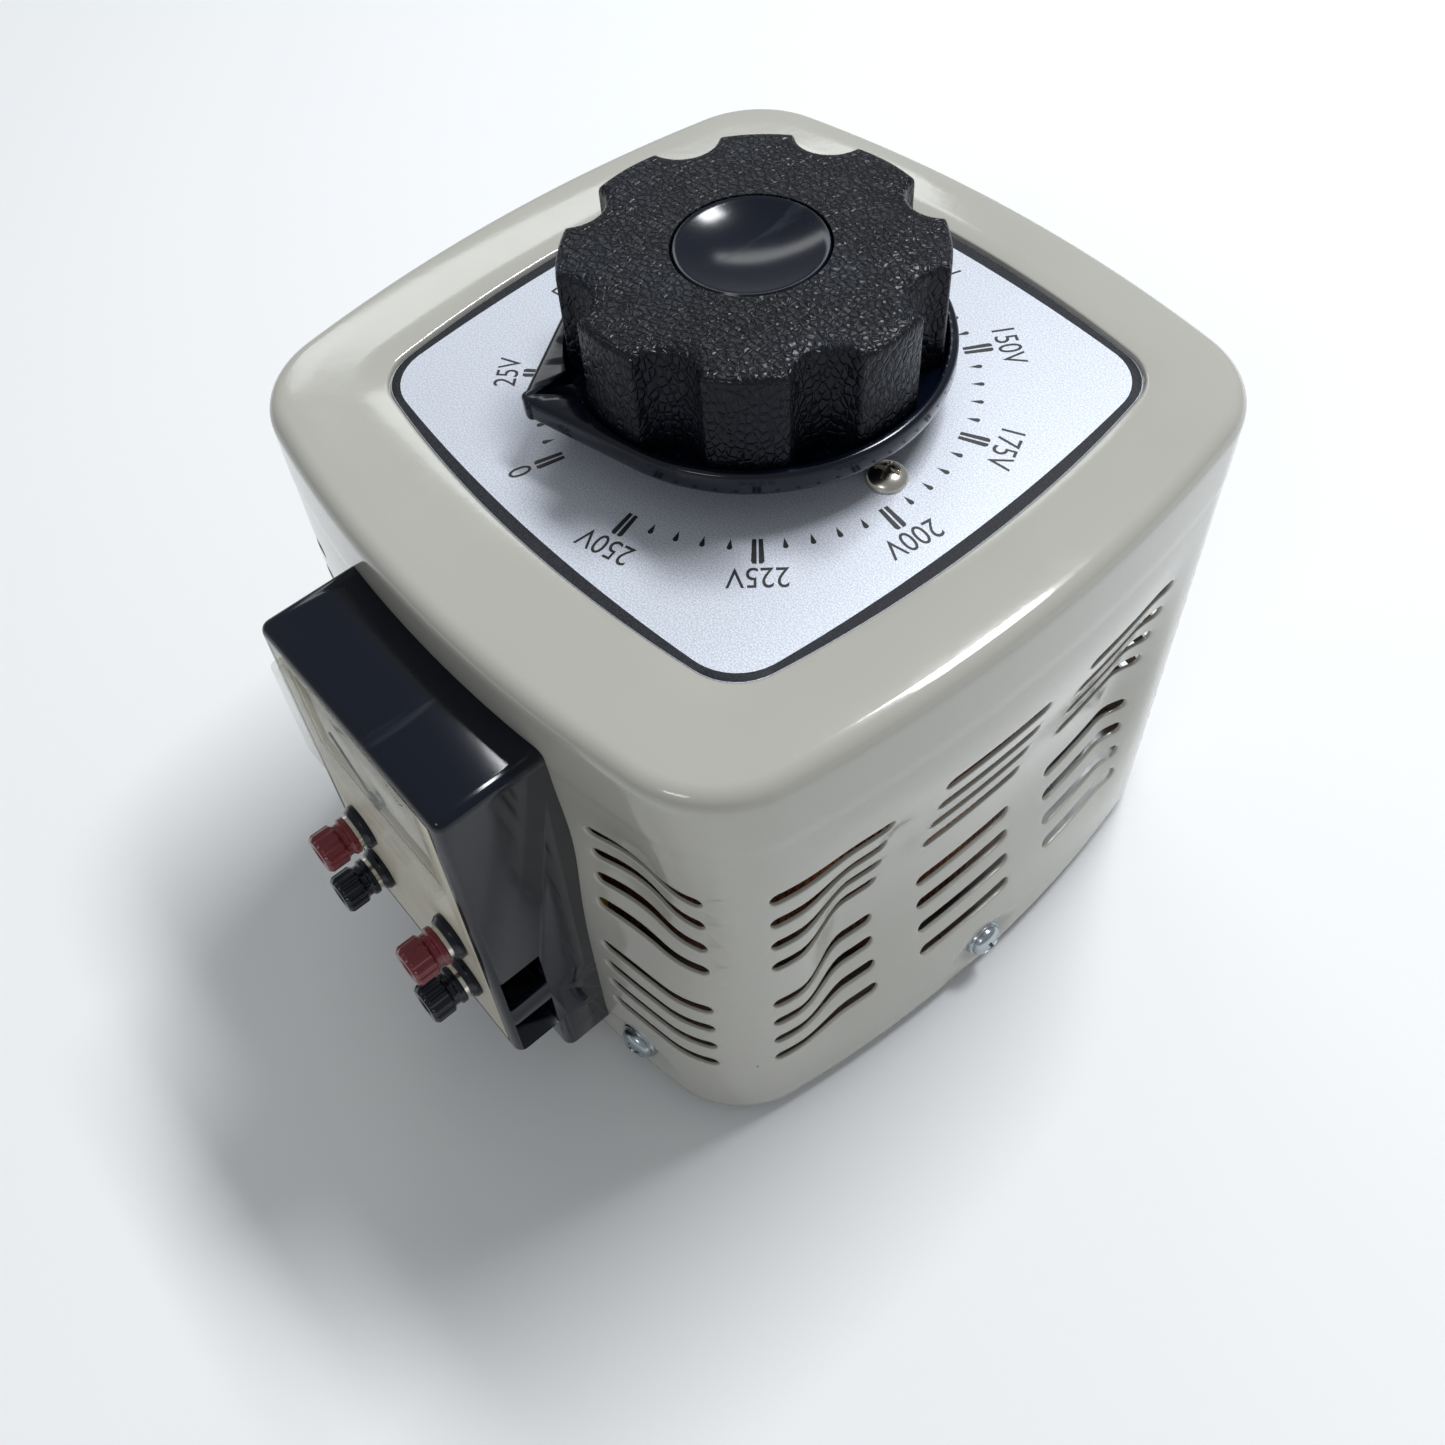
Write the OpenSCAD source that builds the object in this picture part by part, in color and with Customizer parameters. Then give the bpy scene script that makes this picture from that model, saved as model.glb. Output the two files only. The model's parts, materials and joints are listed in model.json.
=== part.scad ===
// Bench variable autotransformer, 1 kVA class, single phase.
// Origin on the shaft axis at the table plane, +Z up, terminal box on the -Y side. Millimetres.

/* [Case] */
// half width across the middle of the sides
case_half = 91.5; // [80:0.5:110]
// how far each side bows out past its ends
case_bow = 12.2; // [6:0.2:18]
// vertical corner radius
case_corner = 26.3; // [15:0.1:35]
// sheet thickness
case_wall = 1.2; // [0.8:0.1:2]
// lower edge of the cover above the table
case_bottom = 5.5; // [3:0.5:12]
// top of the cover above the table
case_top = 156.5; // [120:0.5:200]
// radius of the top edge
case_fillet = 4.3; // [2:0.1:8]
// case centre from the shaft axis
case_dx = -2.8; // [-6:0.1:6]
case_dy = -3.3; // [-6:0.1:6]

/* [Vents] */
// slot opening height
slot_height = 4.2; // [3:0.1:6]
// slot pitch inside one group
slot_pitch = 10.2; // [7:0.1:14]
// slot length
slot_length = 32; // [20:1:40]
// height of the top slot of the upper and of the lower row
slot_upper = 114.2; // [90:0.1:130]
slot_lower = 64.2; // [50:0.1:80]

/* [Dial] */
// half width of the dial plate
plate_half = 68.3; // [50:0.1:80]
// printed surface above the table
dial_z = 155.5; // [120:0.1:200]
// radius of the dial screw circle
dial_screw_r = 41.6; // [30:0.1:60]

/* [Knob] */
// knob lobe radius
knob_r = 41; // [25:0.5:50]
// number of lobes
knob_lobes = 8; // [5:1:12]
// top of the knob above the dial
knob_top = 38.5; // [25:0.5:50]
// skirt radius
skirt_r = 44; // [30:0.5:55]
// gap between skirt and dial
skirt_gap = 8.7; // [3:0.1:12]
// pointer tip from the axis
pointer_tip = 53; // [46:0.5:60]
// pointer direction seen from above, 5 on the scale
pointer_angle = 248.4; // [0:0.1:360]

/* [Transformer] */
// winding outer radius
coil_r = 76; // [60:1:80]
// winding inner radius
coil_bore = 26; // [20:1:40]
// winding height
coil_h = 80; // [50:1:90]
// shaft diameter
shaft_d = 10; // [6:0.5:14]
// radius where the brush runs
track_r = 58; // [45:1:70]

/* [Terminal box] */
// width of the box
box_w = 70; // [50:1:120]
// box centre from the shaft axis
box_x = 3.25; // [-10:0.25:10]
// front plane of the box
box_y = -118.5; // [-140:0.5:-105]
// top, front bottom and rear bottom above the table
box_top = 141.5; // [100:0.5:150]
box_front_bottom = 29.5; // [15:0.5:60]
box_rear_bottom = 12.5; // [8:0.5:40]
// wall thickness
box_wall = 2.5; // [1.5:0.1:4]
// binding post columns left and right of the box centre
post_dx = 19.5; // [10:0.5:30]
// binding post heights
post_z_red = 74.5; // [50:0.5:100]
post_z_black = 53.5; // [40:0.5:80]
// meter width and height
meter_w = 54; // [40:1:65]
meter_h = 34; // [25:1:45]
// meter centre height
meter_z = 120.5; // [90:0.5:130]

/* [Hidden] */

$fn = 64;
eps = 0.01;
slip = 0.05;            // gap between parts that only touch
fit = 0.05;             // radial running fit
side_seg = 10;          // straight pieces per bowed side
corner_seg = 8;         // straight pieces per corner

floor_z = 8;            // underside of the base plate
floor_t = 2.5;
base_top = floor_z + floor_t;
base_gap = 0.4;        // base plate to cover
air_r = 42;             // inner end of the floor air slots
foot_r = 10;
foot_x = 68;
foot_y = 46;
post_xy = 62;           // corner posts from the shaft axis
post_r = 5;
ins_t = 4;              // insulating ring under the coil
coil_z = base_top + ins_t;
coil_top = coil_z + coil_h;
core_skin = 6;          // winding build around the core
track_t = 0.5;
disc_t = 4;             // clamp disc over the coil
disc_z = coil_top;
disc_r = 36;
tube_r = 11;
bush_r = 7.5;
nut_h = 5;
tube_top = disc_z + disc_t + nut_h;
hub_r = 14;
hub_z = tube_top + 2;
hub_h = 20;
arm_z = hub_z + 9;
arm_t = 3;
brush_angle = pointer_angle - 180;
brush_w = 7;
bracket_t = 3;
roof_t = 2.6;           // cover roof, sunk for the dial plate
bracket_z = case_top - roof_t - bracket_t;
plate_t = 0.8;
plate_bow = 7.8;
plate_corner = 13;
plate_dx = -1;
plate_dy = 0.4;
recess_z = dial_z - plate_t;
skirt_z = dial_z + skirt_gap;
skirt_t = 2.6;
rim_h = 6;
knob_z = skirt_z + skirt_t;
knob_end = dial_z + knob_top;
shaft_top = knob_end - 12;
dish_r = 16.7;
scallop_r = 8.3;
stop_reach = 29;         // outer end of the stop lug
stop_half = 7.3;        // half angle of the stop lug
stop_lead = 21.6;       // stop post ahead of the lug
panel_t = 2;
panel_y = box_y + panel_t;
post_r_stud = 2;
collar_h = 2.5;
washer_h = 1;
cap_h = 9.5;
screw_spots = [[0, 0], [90, 0], [180, 0], [270, 52], [270, -52]];
screw_z = 14.5;

// radius of the arc that gives a bowed side, its centre offset, and where the corner arc sits
function arc_r(w, b) = (w * w + b * b) / (2 * b);
function corner_c(w, b, r) = let(k = arc_r(w, b) - w, m = arc_r(w, b) - r) (sqrt(2 * m * m - k * k) - k) / 2;
function turn(p, a) = [p[0] * cos(a) - p[1] * sin(a), p[0] * sin(a) + p[1] * cos(a)];
function pillow_pts(w, b, r, d) =
  let(R = arc_r(w, b), k = R - w, q = corner_c(w, b, r), a = asin(q / (R - r)))
  [for (s = [0:3]) each concat(
    [for (i = [0:side_seg]) let(t = -a + 2 * a * i / side_seg)
      turn([(R - d) * cos(t) - k, (R - d) * sin(t)], 90 * s)],
    [for (i = [1:corner_seg - 1]) let(t = a + (90 - 2 * a) * i / corner_seg)
      turn([q + (r - d) * cos(t), q + (r - d) * sin(t)], 90 * s)])];
// distance from the case centre to the bowed side at offset u along it
function side_at(u) = let(R = arc_r(case_half, case_bow)) sqrt(R * R - u * u) - (R - case_half);

module pillow(w, b, r, d = 0) { polygon(pillow_pts(w, b, r, d)); }
module case_outline(d = 0) { translate([case_dx, case_dy]) pillow(case_half, case_bow, case_corner, d); }
module slab(z, h) { translate([0, 0, z]) linear_extrude(h) children(); }
module rod(r, z, h) { translate([0, 0, z]) cylinder(r = r, h = h); }
module tube(r, bore, z, h) { translate([0, 0, z]) difference() { cylinder(r = r, h = h); translate([0, 0, -1]) cylinder(r = bore, h = h + 2); } }
module corners(xy) { for (a = [45:90:315]) translate([xy * sqrt(2) * cos(a), xy * sqrt(2) * sin(a)]) children(); }
module foot_spots() { for (x = [-foot_x, foot_x], y = [-foot_y, foot_y]) translate([x, y]) children(); }
module dial_spots() { for (a = [-1, 119, 239]) translate([dial_screw_r * cos(a), dial_screw_r * sin(a)]) children(); }
module hexagon(r, h) { cylinder(r = r, h = h, $fn = 6); }
// lies along -Y from the origin
module forward(r, h) { rotate([90, 0, 0]) cylinder(r = r, h = h); }

module base_plate() {
  color("silver") difference() {
    slab(floor_z, floor_t) case_outline(case_wall + base_gap);
    foot_spots() rod(2.2, floor_z - 1, floor_t + 2);
    corners(post_xy) rod(2.2, floor_z - 1, floor_t + 2);
    rod(bush_r + 0.2, floor_z - 1, floor_t + 2);
    for (a = [0:30:330]) rotate(a) translate([air_r, -3, floor_z - 1]) cube([22, 6, floor_t + 2]);
  }
}

// stands on the outer wall face at each side screw, X along the outward normal
module at_screws() {
  for (s = screw_spots) translate([case_dx, case_dy, screw_z]) rotate(s[0]) translate([side_at(s[1]), s[1], 0])
    rotate(asin(s[1] / arc_r(case_half, case_bow))) children();
}

module screw_holes(r) { at_screws() translate([-15, 0, 0]) rotate([0, 90, 0]) cylinder(r = r, h = 25); }

module base_tabs() {
  tab_w = 14;
  tab_t = 1.8;
  tab_h = 13;
  color("silver") difference() {
    at_screws() translate([-case_wall - base_gap - tab_t, -tab_w / 2, base_top + slip - screw_z]) {
      cube([tab_t, tab_w, tab_h]);
      translate([-8, 0, 0]) cube([8 + tab_t, tab_w, tab_t - 0.6]);
    }
    screw_holes(2.6);
  }
}

module rubber_feet() {
  color("dimgray") foot_spots() difference() {
    rod(foot_r, 0, floor_z);
    rod(5, -1, 4);
    rod(2.2, -1, floor_z + 2);
  }
}

module foot_screws() {
  color("gainsboro") foot_spots() { rod(4, 1, 2); rod(2, 1, 11.5); translate([0, 0, base_top]) hexagon(4, 1.8); }
}

module slot_row(u, z) {
  translate([0, u, z]) rotate([90, 0, 90]) linear_extrude(60) {
    square([slot_length - slot_height, slot_height], center = true);
    for (s = [-1, 1]) translate([s * (slot_length - slot_height) / 2, 0]) circle(d = slot_height, $fn = 24);
  }
}

module slot_group(angle, u) {
  translate([case_dx, case_dy]) rotate(angle) translate([50, 0]) for (top = [slot_upper, slot_lower], i = [0:3])
    slot_row(u, top - i * slot_pitch);
}

module cover() {
  color("antiquewhite") difference() {
    union() {
      slab(case_bottom, case_top - case_fillet - case_bottom) case_outline();
      hull() for (t = [0:15:90])
        slab(case_top - case_fillet * (1 - sin(t)) - eps, eps) case_outline(case_fillet * (1 - cos(t)));
    }
    slab(case_bottom - 1, case_top - roof_t - case_bottom + 1) case_outline(case_wall);
    slab(recess_z, 4) translate([plate_dx, plate_dy]) pillow(plate_half + 0.4, plate_bow, plate_corner);
    rod(12, case_top - 10, 12);
    dial_spots() rod(2.7, case_top - 10, 12);
    for (a = [0, 180]) for (u = [-53.5, -7, 39.5]) slot_group(a, a == 0 ? u : -u);
    for (u = [-39.5, 7, 53.5]) slot_group(90, u);
    for (u = [-62, 60]) slot_group(270, u);
    screw_holes(2.7);
    translate([box_x - 22, case_dy - case_half - 3, 48]) cube([44, 20, 80]);
    box_bosses() translate([0, 10, 0]) forward(2.2, 30);
  }
}

module cover_screws() {
  color("lightsteelblue") at_screws() translate([slip, 0, 0]) rotate([0, 90, 0]) {
    difference() { cylinder(r1 = 4.7, r2 = 3.6, h = 3); translate([0, 0, 2]) { cube([5, 1, 3], center = true); cube([1, 5, 3], center = true); } }
    translate([0, 0, -8]) cylinder(r = 2.5, h = 8.5);
  }
}

module corner_posts() {
  color("gainsboro") corners(post_xy) difference() {
    rod(post_r, base_top, bracket_z - base_top);
    rod(2, base_top - 1, 14);
    rod(2, bracket_z - 12, 14);
  }
}

module post_screws() {
  color("gainsboro") corners(post_xy) { rod(3.6, floor_z - 2, 2); rod(1.9, floor_z - 1, 12); rod(1.9, bracket_z - 8, 8 + bracket_t - 0.5); }
}

module top_bracket() {
  color("silver") difference() {
    slab(bracket_z, bracket_t) {
      circle(r = 50);
      for (a = [45, 135]) rotate(a) square([2 * post_xy * sqrt(2) + 14, 18], center = true);
    }
    rod(13, bracket_z - 1, bracket_t + 2);
    dial_spots() rod(2.5, bracket_z - 1, bracket_t + 2);
    corners(post_xy) rod(2, bracket_z - 1, bracket_t + 2);
  }
}

module dial_plate() {
  color("gainsboro") difference() {
    slab(recess_z, plate_t) translate([plate_dx, plate_dy]) pillow(plate_half, plate_bow, plate_corner);
    rod(9, recess_z - 1, plate_t + 2);
    dial_spots() rod(2.7, recess_z - 1, plate_t + 2);
  }
}

module dial_screws() {
  color("lightgray") dial_spots() {
    rod(2.45, bracket_z - 3, dial_z - bracket_z + 3.5);
    translate([0, 0, dial_z]) intersection() {
      translate([0, 0, -2.2]) sphere(r = 5.2, $fn = 48);
      cylinder(r = 4.7, h = 5);
    }
  }
}

module lower_insulator() {
  color("saddlebrown") tube(coil_r - 2, tube_r + 0.5, base_top, ins_t);
}

module toroid_core() {
  color("slategray") tube(coil_r - core_skin, coil_bore + core_skin, coil_z + core_skin, coil_h - 2 * core_skin);
}

module winding() {
  round_r = 5;
  color("peru") rotate_extrude() difference() {
    union() {
      translate([coil_bore, coil_z + round_r]) square([coil_r - coil_bore, coil_h - 2 * round_r]);
      translate([coil_bore + round_r, coil_z]) square([coil_r - coil_bore - 2 * round_r, coil_h]);
      for (x = [coil_bore + round_r, coil_r - round_r], y = [coil_z + round_r, coil_top - round_r]) translate([x, y]) circle(r = round_r);
    }
    translate([coil_bore + core_skin, coil_z + core_skin]) square([coil_r - coil_bore - 2 * core_skin, coil_h - 2 * core_skin]);
  }
}

module brush_track() {
  color("darkorange") tube(track_r + 7, track_r - 7, coil_top, track_t);
}

module centre_tube() {
  color("silver") difference() {
    union() { rod(tube_r, base_top, tube_top - base_top); }
    rod(bush_r, base_top - 1, tube_top - base_top + 2);
  }
}

module tube_nut() {
  color("silver") difference() {
    translate([0, 0, disc_z + disc_t]) hexagon(19, nut_h - 0.5);
    rod(tube_r, disc_z, 20);
  }
}

module lower_bush() { color("goldenrod") tube(bush_r, shaft_d / 2 + fit, base_top, 14); }
module upper_bush() { color("goldenrod") tube(bush_r, shaft_d / 2 + fit, tube_top - 14, 14); }

module clamp_disc() {
  color("saddlebrown") tube(disc_r, tube_r, disc_z, disc_t);
}

module stop_post() {
  color("silver") rotate(brush_angle + 180 + stop_lead) translate([26, 0]) rod(3, disc_z + disc_t, hub_z + 5.5 - disc_z - disc_t);
}

module pickup_finger() {
  color("goldenrod") rotate(brush_angle + 60) {
    translate([30, -4, disc_z + disc_t]) cube([5.5, 8, hub_z + 5 - disc_z - disc_t]);
    translate([hub_r + 3.3, -3, hub_z + 5]) cube([18, 6, 1]);
  }
}

module shaft() {
  color("silver") difference() {
    rod(shaft_d / 2, base_top + 1, shaft_top - base_top - 1);
    translate([shaft_d / 2 - 1.2, -10, skirt_z + 4]) cube([10, 20, 40]);
    rotate(brush_angle) translate([0, 0, hub_z + hub_h - 5]) rotate([0, 90, 0]) cylinder(r = 2, h = 10);
  }
}

module arm_hub() {
  color("darkgray") difference() {
    union() {
      rod(hub_r, hub_z, hub_h);
      // stop lug
      rotate(brush_angle + 180 - stop_half) translate([0, 0, hub_z]) rotate_extrude(angle = 2 * stop_half)
        translate([hub_r - 4, 0]) square([stop_reach - hub_r + 4, 4]);
    }
    rod(shaft_d / 2, hub_z - 1, hub_h + 2);
    rotate(brush_angle) translate([0, 0, hub_z + hub_h - 5]) rotate([0, 90, 0]) cylinder(r = 2, h = 30);
  }
}

module hub_set_screw() {
  color("dimgray") rotate(brush_angle) translate([3.9, 0, hub_z + hub_h - 5]) rotate([0, 90, 0]) difference() {
    cylinder(r = 2, h = 9);
    translate([0, 0, 6.5]) hexagon(1.2, 4);
  }
}

module brush_arm() {
  color("gainsboro") difference() {
    slab(arm_z, arm_t) difference() {
      union() {
        circle(r = 34);
        rotate(brush_angle) translate([0, -13]) square([track_r + 12, 26]);
      }
      circle(r = hub_r);
      rotate(brush_angle) translate([track_r, 0]) square([brush_w + 0.4, brush_w + 0.4], center = true);
    }
    rotate(brush_angle) for (y = [-8.5, 8.5]) translate([track_r, y]) rod(1.5, arm_z - 1, arm_t + 2);
    for (a = [60:60:300]) rotate(brush_angle + a) translate([25, 0]) rod(4, arm_z - 1, arm_t + 2);
  }
}

module slip_ring() { color("goldenrod") tube(hub_r + 3, hub_r, hub_z + 4.1, arm_z - hub_z - 4.1); }

module brush_holder() {
  color("goldenrod") rotate(brush_angle) difference() {
    union() {
      translate([track_r - 6, -6, coil_top + 5]) cube([12, 12, arm_z - coil_top - 5]);
      for (y = [-8.5, 8.5]) translate([track_r, y]) rod(3, arm_z - 2, 2);
      for (y = [-8.5, 8.5]) translate([track_r, y]) rod(1.5, arm_z - 1, arm_t + 1.6);
    }
    translate([track_r - brush_w / 2 - 0.2, -brush_w / 2 - 0.2, coil_top]) cube([brush_w + 0.4, brush_w + 0.4, 40]);
  }
}

module carbon_brush() {
  color("black") rotate(brush_angle) translate([track_r - brush_w / 2, -brush_w / 2, coil_top + track_t + 0.1])
    cube([brush_w, brush_w, arm_z + arm_t + 2 - coil_top - track_t - 0.1]);
}

module brush_spring() {
  color("goldenrod") rotate(brush_angle) {
    translate([24, -3.5, arm_z + arm_t]) cube([12, 7, 2 + 0.6]);
    translate([24, -3.5, arm_z + arm_t + 2 + slip]) cube([track_r + 3 - 24, 7, 0.6]);
  }
}

module pointer_skirt() {
  tip_half = 2;
  touch = acos(skirt_r / pointer_tip);
  color([0.08, 0.08, 0.09]) difference() {
    union() {
      rod(skirt_r, skirt_z, rim_h);
      rotate(pointer_angle) slab(skirt_z, rim_h) polygon([
        [skirt_r * cos(touch), skirt_r * sin(touch)], [pointer_tip, tip_half], [pointer_tip, -tip_half],
        [skirt_r * cos(touch), -skirt_r * sin(touch)], [0, 0]]);
      rod(13, dial_z + 2, skirt_gap);
    }
    rod(skirt_r - 2.2, knob_z, rim_h);
    rotate(pointer_angle) slab(skirt_z + rim_h - 1.2, 2) polygon([[skirt_r - 1, 7], [pointer_tip - 3.4, 1], [skirt_r - 1, 0.9]]);
    rotate(pointer_angle) slab(skirt_z + rim_h - 1.2, 2) polygon([[skirt_r - 1, -7], [pointer_tip - 3.4, -1], [skirt_r - 1, -0.9]]);
    rod(shaft_d / 2, dial_z, 40);
  }
}

module knob() {
  color([0.1, 0.1, 0.11]) difference() {
    union() {
      rod(knob_r, knob_z, knob_end - knob_z - 2);
      translate([0, 0, knob_end - 2]) cylinder(r1 = knob_r, r2 = knob_r - 2, h = 2);
    }
    for (i = [0:knob_lobes - 1]) rotate(pointer_angle + i * 360 / knob_lobes) translate([35.5 + scallop_r, 0]) rod(scallop_r, knob_z - 1, 60);
    rod(shaft_d / 2, knob_z - 1, shaft_top - knob_z + 1.2);
    rod(dish_r + 0.1, knob_end - 4, 8);
    rotate(pointer_angle + 180) translate([0, 0, knob_z + 10]) rotate([0, 90, 0]) cylinder(r = 2, h = 60);
  }
}

module knob_cap() {
  dish_sphere = 60;
  color([0.05, 0.05, 0.06]) difference() {
    rod(dish_r, knob_end - 4, 4);
    translate([0, 0, knob_end - 2.2 + dish_sphere]) sphere(r = dish_sphere, $fn = 96);
  }
}

module knob_set_screw() {
  color("dimgray") rotate(pointer_angle + 180) translate([0, 0, knob_z + 10]) rotate([0, 90, 0]) difference() {
    translate([0, 0, shaft_d / 2]) cylinder(r = 2, h = 10);
    translate([0, 0, shaft_d / 2 + 8]) hexagon(1.2, 4);
  }
}

module box_bosses() { for (x = [-28, 28], z = [134, 38]) translate([box_x + x * 0.98, 0, z]) translate([0, case_dy - side_at(abs(x) + 4), 0]) children(); }

module box_block(d, front, z0, z1) {
  translate([box_x - box_w / 2 + d, front, z0]) cube([box_w - 2 * d, -front - 70, z1 - z0]);
}

module terminal_box() {
  win_y = box_y + 13;
  color([0.06, 0.06, 0.08]) difference() {
    union() {
      difference() {
        union() {
          box_block(0, box_y, box_front_bottom, box_top);
          box_block(0, win_y - 1, box_rear_bottom, box_top);
        }
        box_block(box_wall, box_y + 4, box_front_bottom + box_wall, box_top - box_wall);
        box_block(box_wall, win_y - 1 + box_wall, box_rear_bottom + box_wall, box_top - box_wall);
        // panel recess and the opening behind it
        front_hole(4, -1, panel_t + 1);
        front_hole(5.5, -1, 10);
        // side grilles, open round the front corners
        for (s = [-1, 1], z = [box_front_bottom + 2, box_front_bottom + 25])
          translate([box_x + s * box_w / 2 - 8, box_y + 1.2, z]) cube([16, 12, 15]);
      }
      intersection() {
        box_bosses() translate([0, 12, 0]) forward(4.5, 22);
        box_block(0, win_y, box_rear_bottom, box_top);
      }
    }
    slab(0, 200) case_outline(-slip);
    box_bosses() translate([0, 12, 0]) forward(1.9, 18);
  }
}

module front_hole(d, y, depth) {
  translate([box_x - box_w / 2 + d, box_y + y, box_front_bottom + d]) cube([box_w - 2 * d, depth, box_top - box_front_bottom - 2 * d]);
}

module box_screws() {
  color("gainsboro") box_bosses() { translate([0, case_wall + 2.6, 0]) forward(3.6, 2); translate([0, case_wall + 1, 0]) forward(1.85, 8); }
}

module post_spots() { for (x = [-1, 1], z = [post_z_red, post_z_black]) translate([box_x + x * post_dx, 0, z]) children(); }

module terminal_panel() {
  color("ivory") difference() {
    translate([box_x - box_w / 2 + 4 + slip, box_y, box_front_bottom + 4 + slip])
      cube([box_w - 8 - 2 * slip, panel_t, box_top - box_front_bottom - 8 - 2 * slip]);
    translate([box_x - meter_w / 2 + 2, box_y - 1, meter_z - meter_h / 2 + 2]) cube([meter_w - 4, panel_t + 2, meter_h - 4]);
    post_spots() translate([0, box_y + 5, 0]) forward(post_r_stud + 1, 10);
  }
}

module meter_body() {
  color([0.08, 0.08, 0.08]) difference() {
    translate([box_x - meter_w / 2 + 2 + slip, box_y + 0.4, meter_z - meter_h / 2 + 2 + slip]) cube([meter_w - 4 - 2 * slip, 14, meter_h - 4 - 2 * slip]);
    translate([box_x - meter_w / 2 + 3.5, box_y - 1, meter_z - meter_h / 2 + 3.5]) cube([meter_w - 7, 13.4, meter_h - 7]);
  }
}

meter_pivot_z = meter_z - meter_h / 2 + 6;
module meter_face() {
  color("white") difference() {
    translate([box_x - meter_w / 2 + 3.6, box_y + 1.6, meter_z - meter_h / 2 + 3.6]) cube([meter_w - 7.2, 0.6, meter_h - 7.2]);
    translate([box_x, box_y + 5, meter_pivot_z]) forward(1.6, 10);
  }
}

module meter_pivot() {
  color("dimgray") translate([box_x, box_y + 12.4, meter_pivot_z]) { forward(1.4, 11.6); forward(2.2, 9); forward(0.6, 12.9); }
}

module meter_needle() {
  color("black") translate([box_x, box_y, meter_pivot_z]) {
    translate([0, 0.6, 0]) difference() { forward(2.4, 0.8); translate([0, 1, 0]) forward(0.6 + fit, 3); }
    rotate([0, -45, 0]) translate([-0.35, -0.2, 1.5]) cube([0.7, 0.5, 17]);
  }
}

module meter_window() {
  color("lightcyan") difference() {
    translate([box_x - meter_w / 2, box_y - 3, meter_z - meter_h / 2]) cube([meter_w, 3 - slip, meter_h]);
    translate([box_x - meter_w / 2 + 1.5, box_y - 1.6, meter_z - meter_h / 2 + 1.5]) cube([meter_w - 3, 3, meter_h - 3]);
  }
}

module post_studs() { color("gold") post_spots() translate([0, box_y + 14, 0]) forward(post_r_stud, 14 + collar_h + washer_h + cap_h + 1); }

module post_collars() {
  color([0.15, 0.15, 0.16]) post_spots() translate([0, box_y - slip, 0]) difference() { forward(6, collar_h - slip); translate([0, 1, 0]) forward(post_r_stud, 10); }
}

module post_nuts() {
  color("gold") post_spots() translate([0, panel_y + slip + 3, 0]) rotate([90, 0, 0]) difference() { hexagon(4.2, 3); translate([0, 0, -1]) cylinder(r = post_r_stud, h = 8); }
}

module clamp_washer(x, z) {
  translate([box_x + x * post_dx, box_y - collar_h - slip, z]) difference() { forward(4.4, washer_h - slip); translate([0, 1, 0]) forward(post_r_stud + fit, 8); }
}

module binding_cap(x, z) {
  translate([box_x + x * post_dx, box_y - collar_h - washer_h - slip, z]) difference() {
    forward(5.3, cap_h);
    translate([0, 1, 0]) forward(post_r_stud + fit, cap_h + 2);
    for (a = [0:45:315]) rotate([0, a, 0]) translate([5.9, -1.8, 0]) forward(1.2, cap_h);
  }
}

module washer_red_left() { color("silver") clamp_washer(-1, post_z_red); }
module cap_red_left() { color("firebrick") binding_cap(-1, post_z_red); }
module washer_black_left() { color("silver") clamp_washer(-1, post_z_black); }
module cap_black_left() { color([0.07, 0.07, 0.07]) binding_cap(-1, post_z_black); }
module washer_red_right() { color("silver") clamp_washer(1, post_z_red); }
module cap_red_right() { color("firebrick") binding_cap(1, post_z_red); }
module washer_black_right() { color("silver") clamp_washer(1, post_z_black); }
module cap_black_right() { color([0.07, 0.07, 0.07]) binding_cap(1, post_z_black); }

// each lead runs back through the case window, then down or up beside the coil
module lead_wires() {
  back = box_y + 14.2;
  reach = -79;
  color("goldenrod") for (x = [-1, 1], z = [post_z_red, post_z_black]) translate([box_x + x * post_dx, 0, z]) {
    translate([0, reach, 0]) forward(1.2, reach - back);
    translate([0, reach, z == post_z_red ? -2 : -30]) cylinder(r = 1.6, h = 32);
  }
}

base_plate();
base_tabs();
rubber_feet();
foot_screws();
cover();
cover_screws();
corner_posts();
post_screws();
top_bracket();
dial_plate();
dial_screws();
lower_insulator();
toroid_core();
winding();
brush_track();
centre_tube();
tube_nut();
lower_bush();
upper_bush();
clamp_disc();
stop_post();
pickup_finger();
shaft();
arm_hub();
hub_set_screw();
brush_arm();
slip_ring();
brush_holder();
carbon_brush();
brush_spring();
pointer_skirt();
knob();
knob_cap();
knob_set_screw();
terminal_box();
box_screws();
terminal_panel();
meter_body();
meter_face();
meter_pivot();
meter_needle();
meter_window();
post_studs();
post_collars();
post_nuts();
washer_red_left();
cap_red_left();
washer_black_left();
cap_black_left();
washer_red_right();
cap_red_right();
washer_black_right();
cap_black_right();
lead_wires();
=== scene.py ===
import json
import math

import bmesh
import bpy
from mathutils import Matrix, Vector


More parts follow.
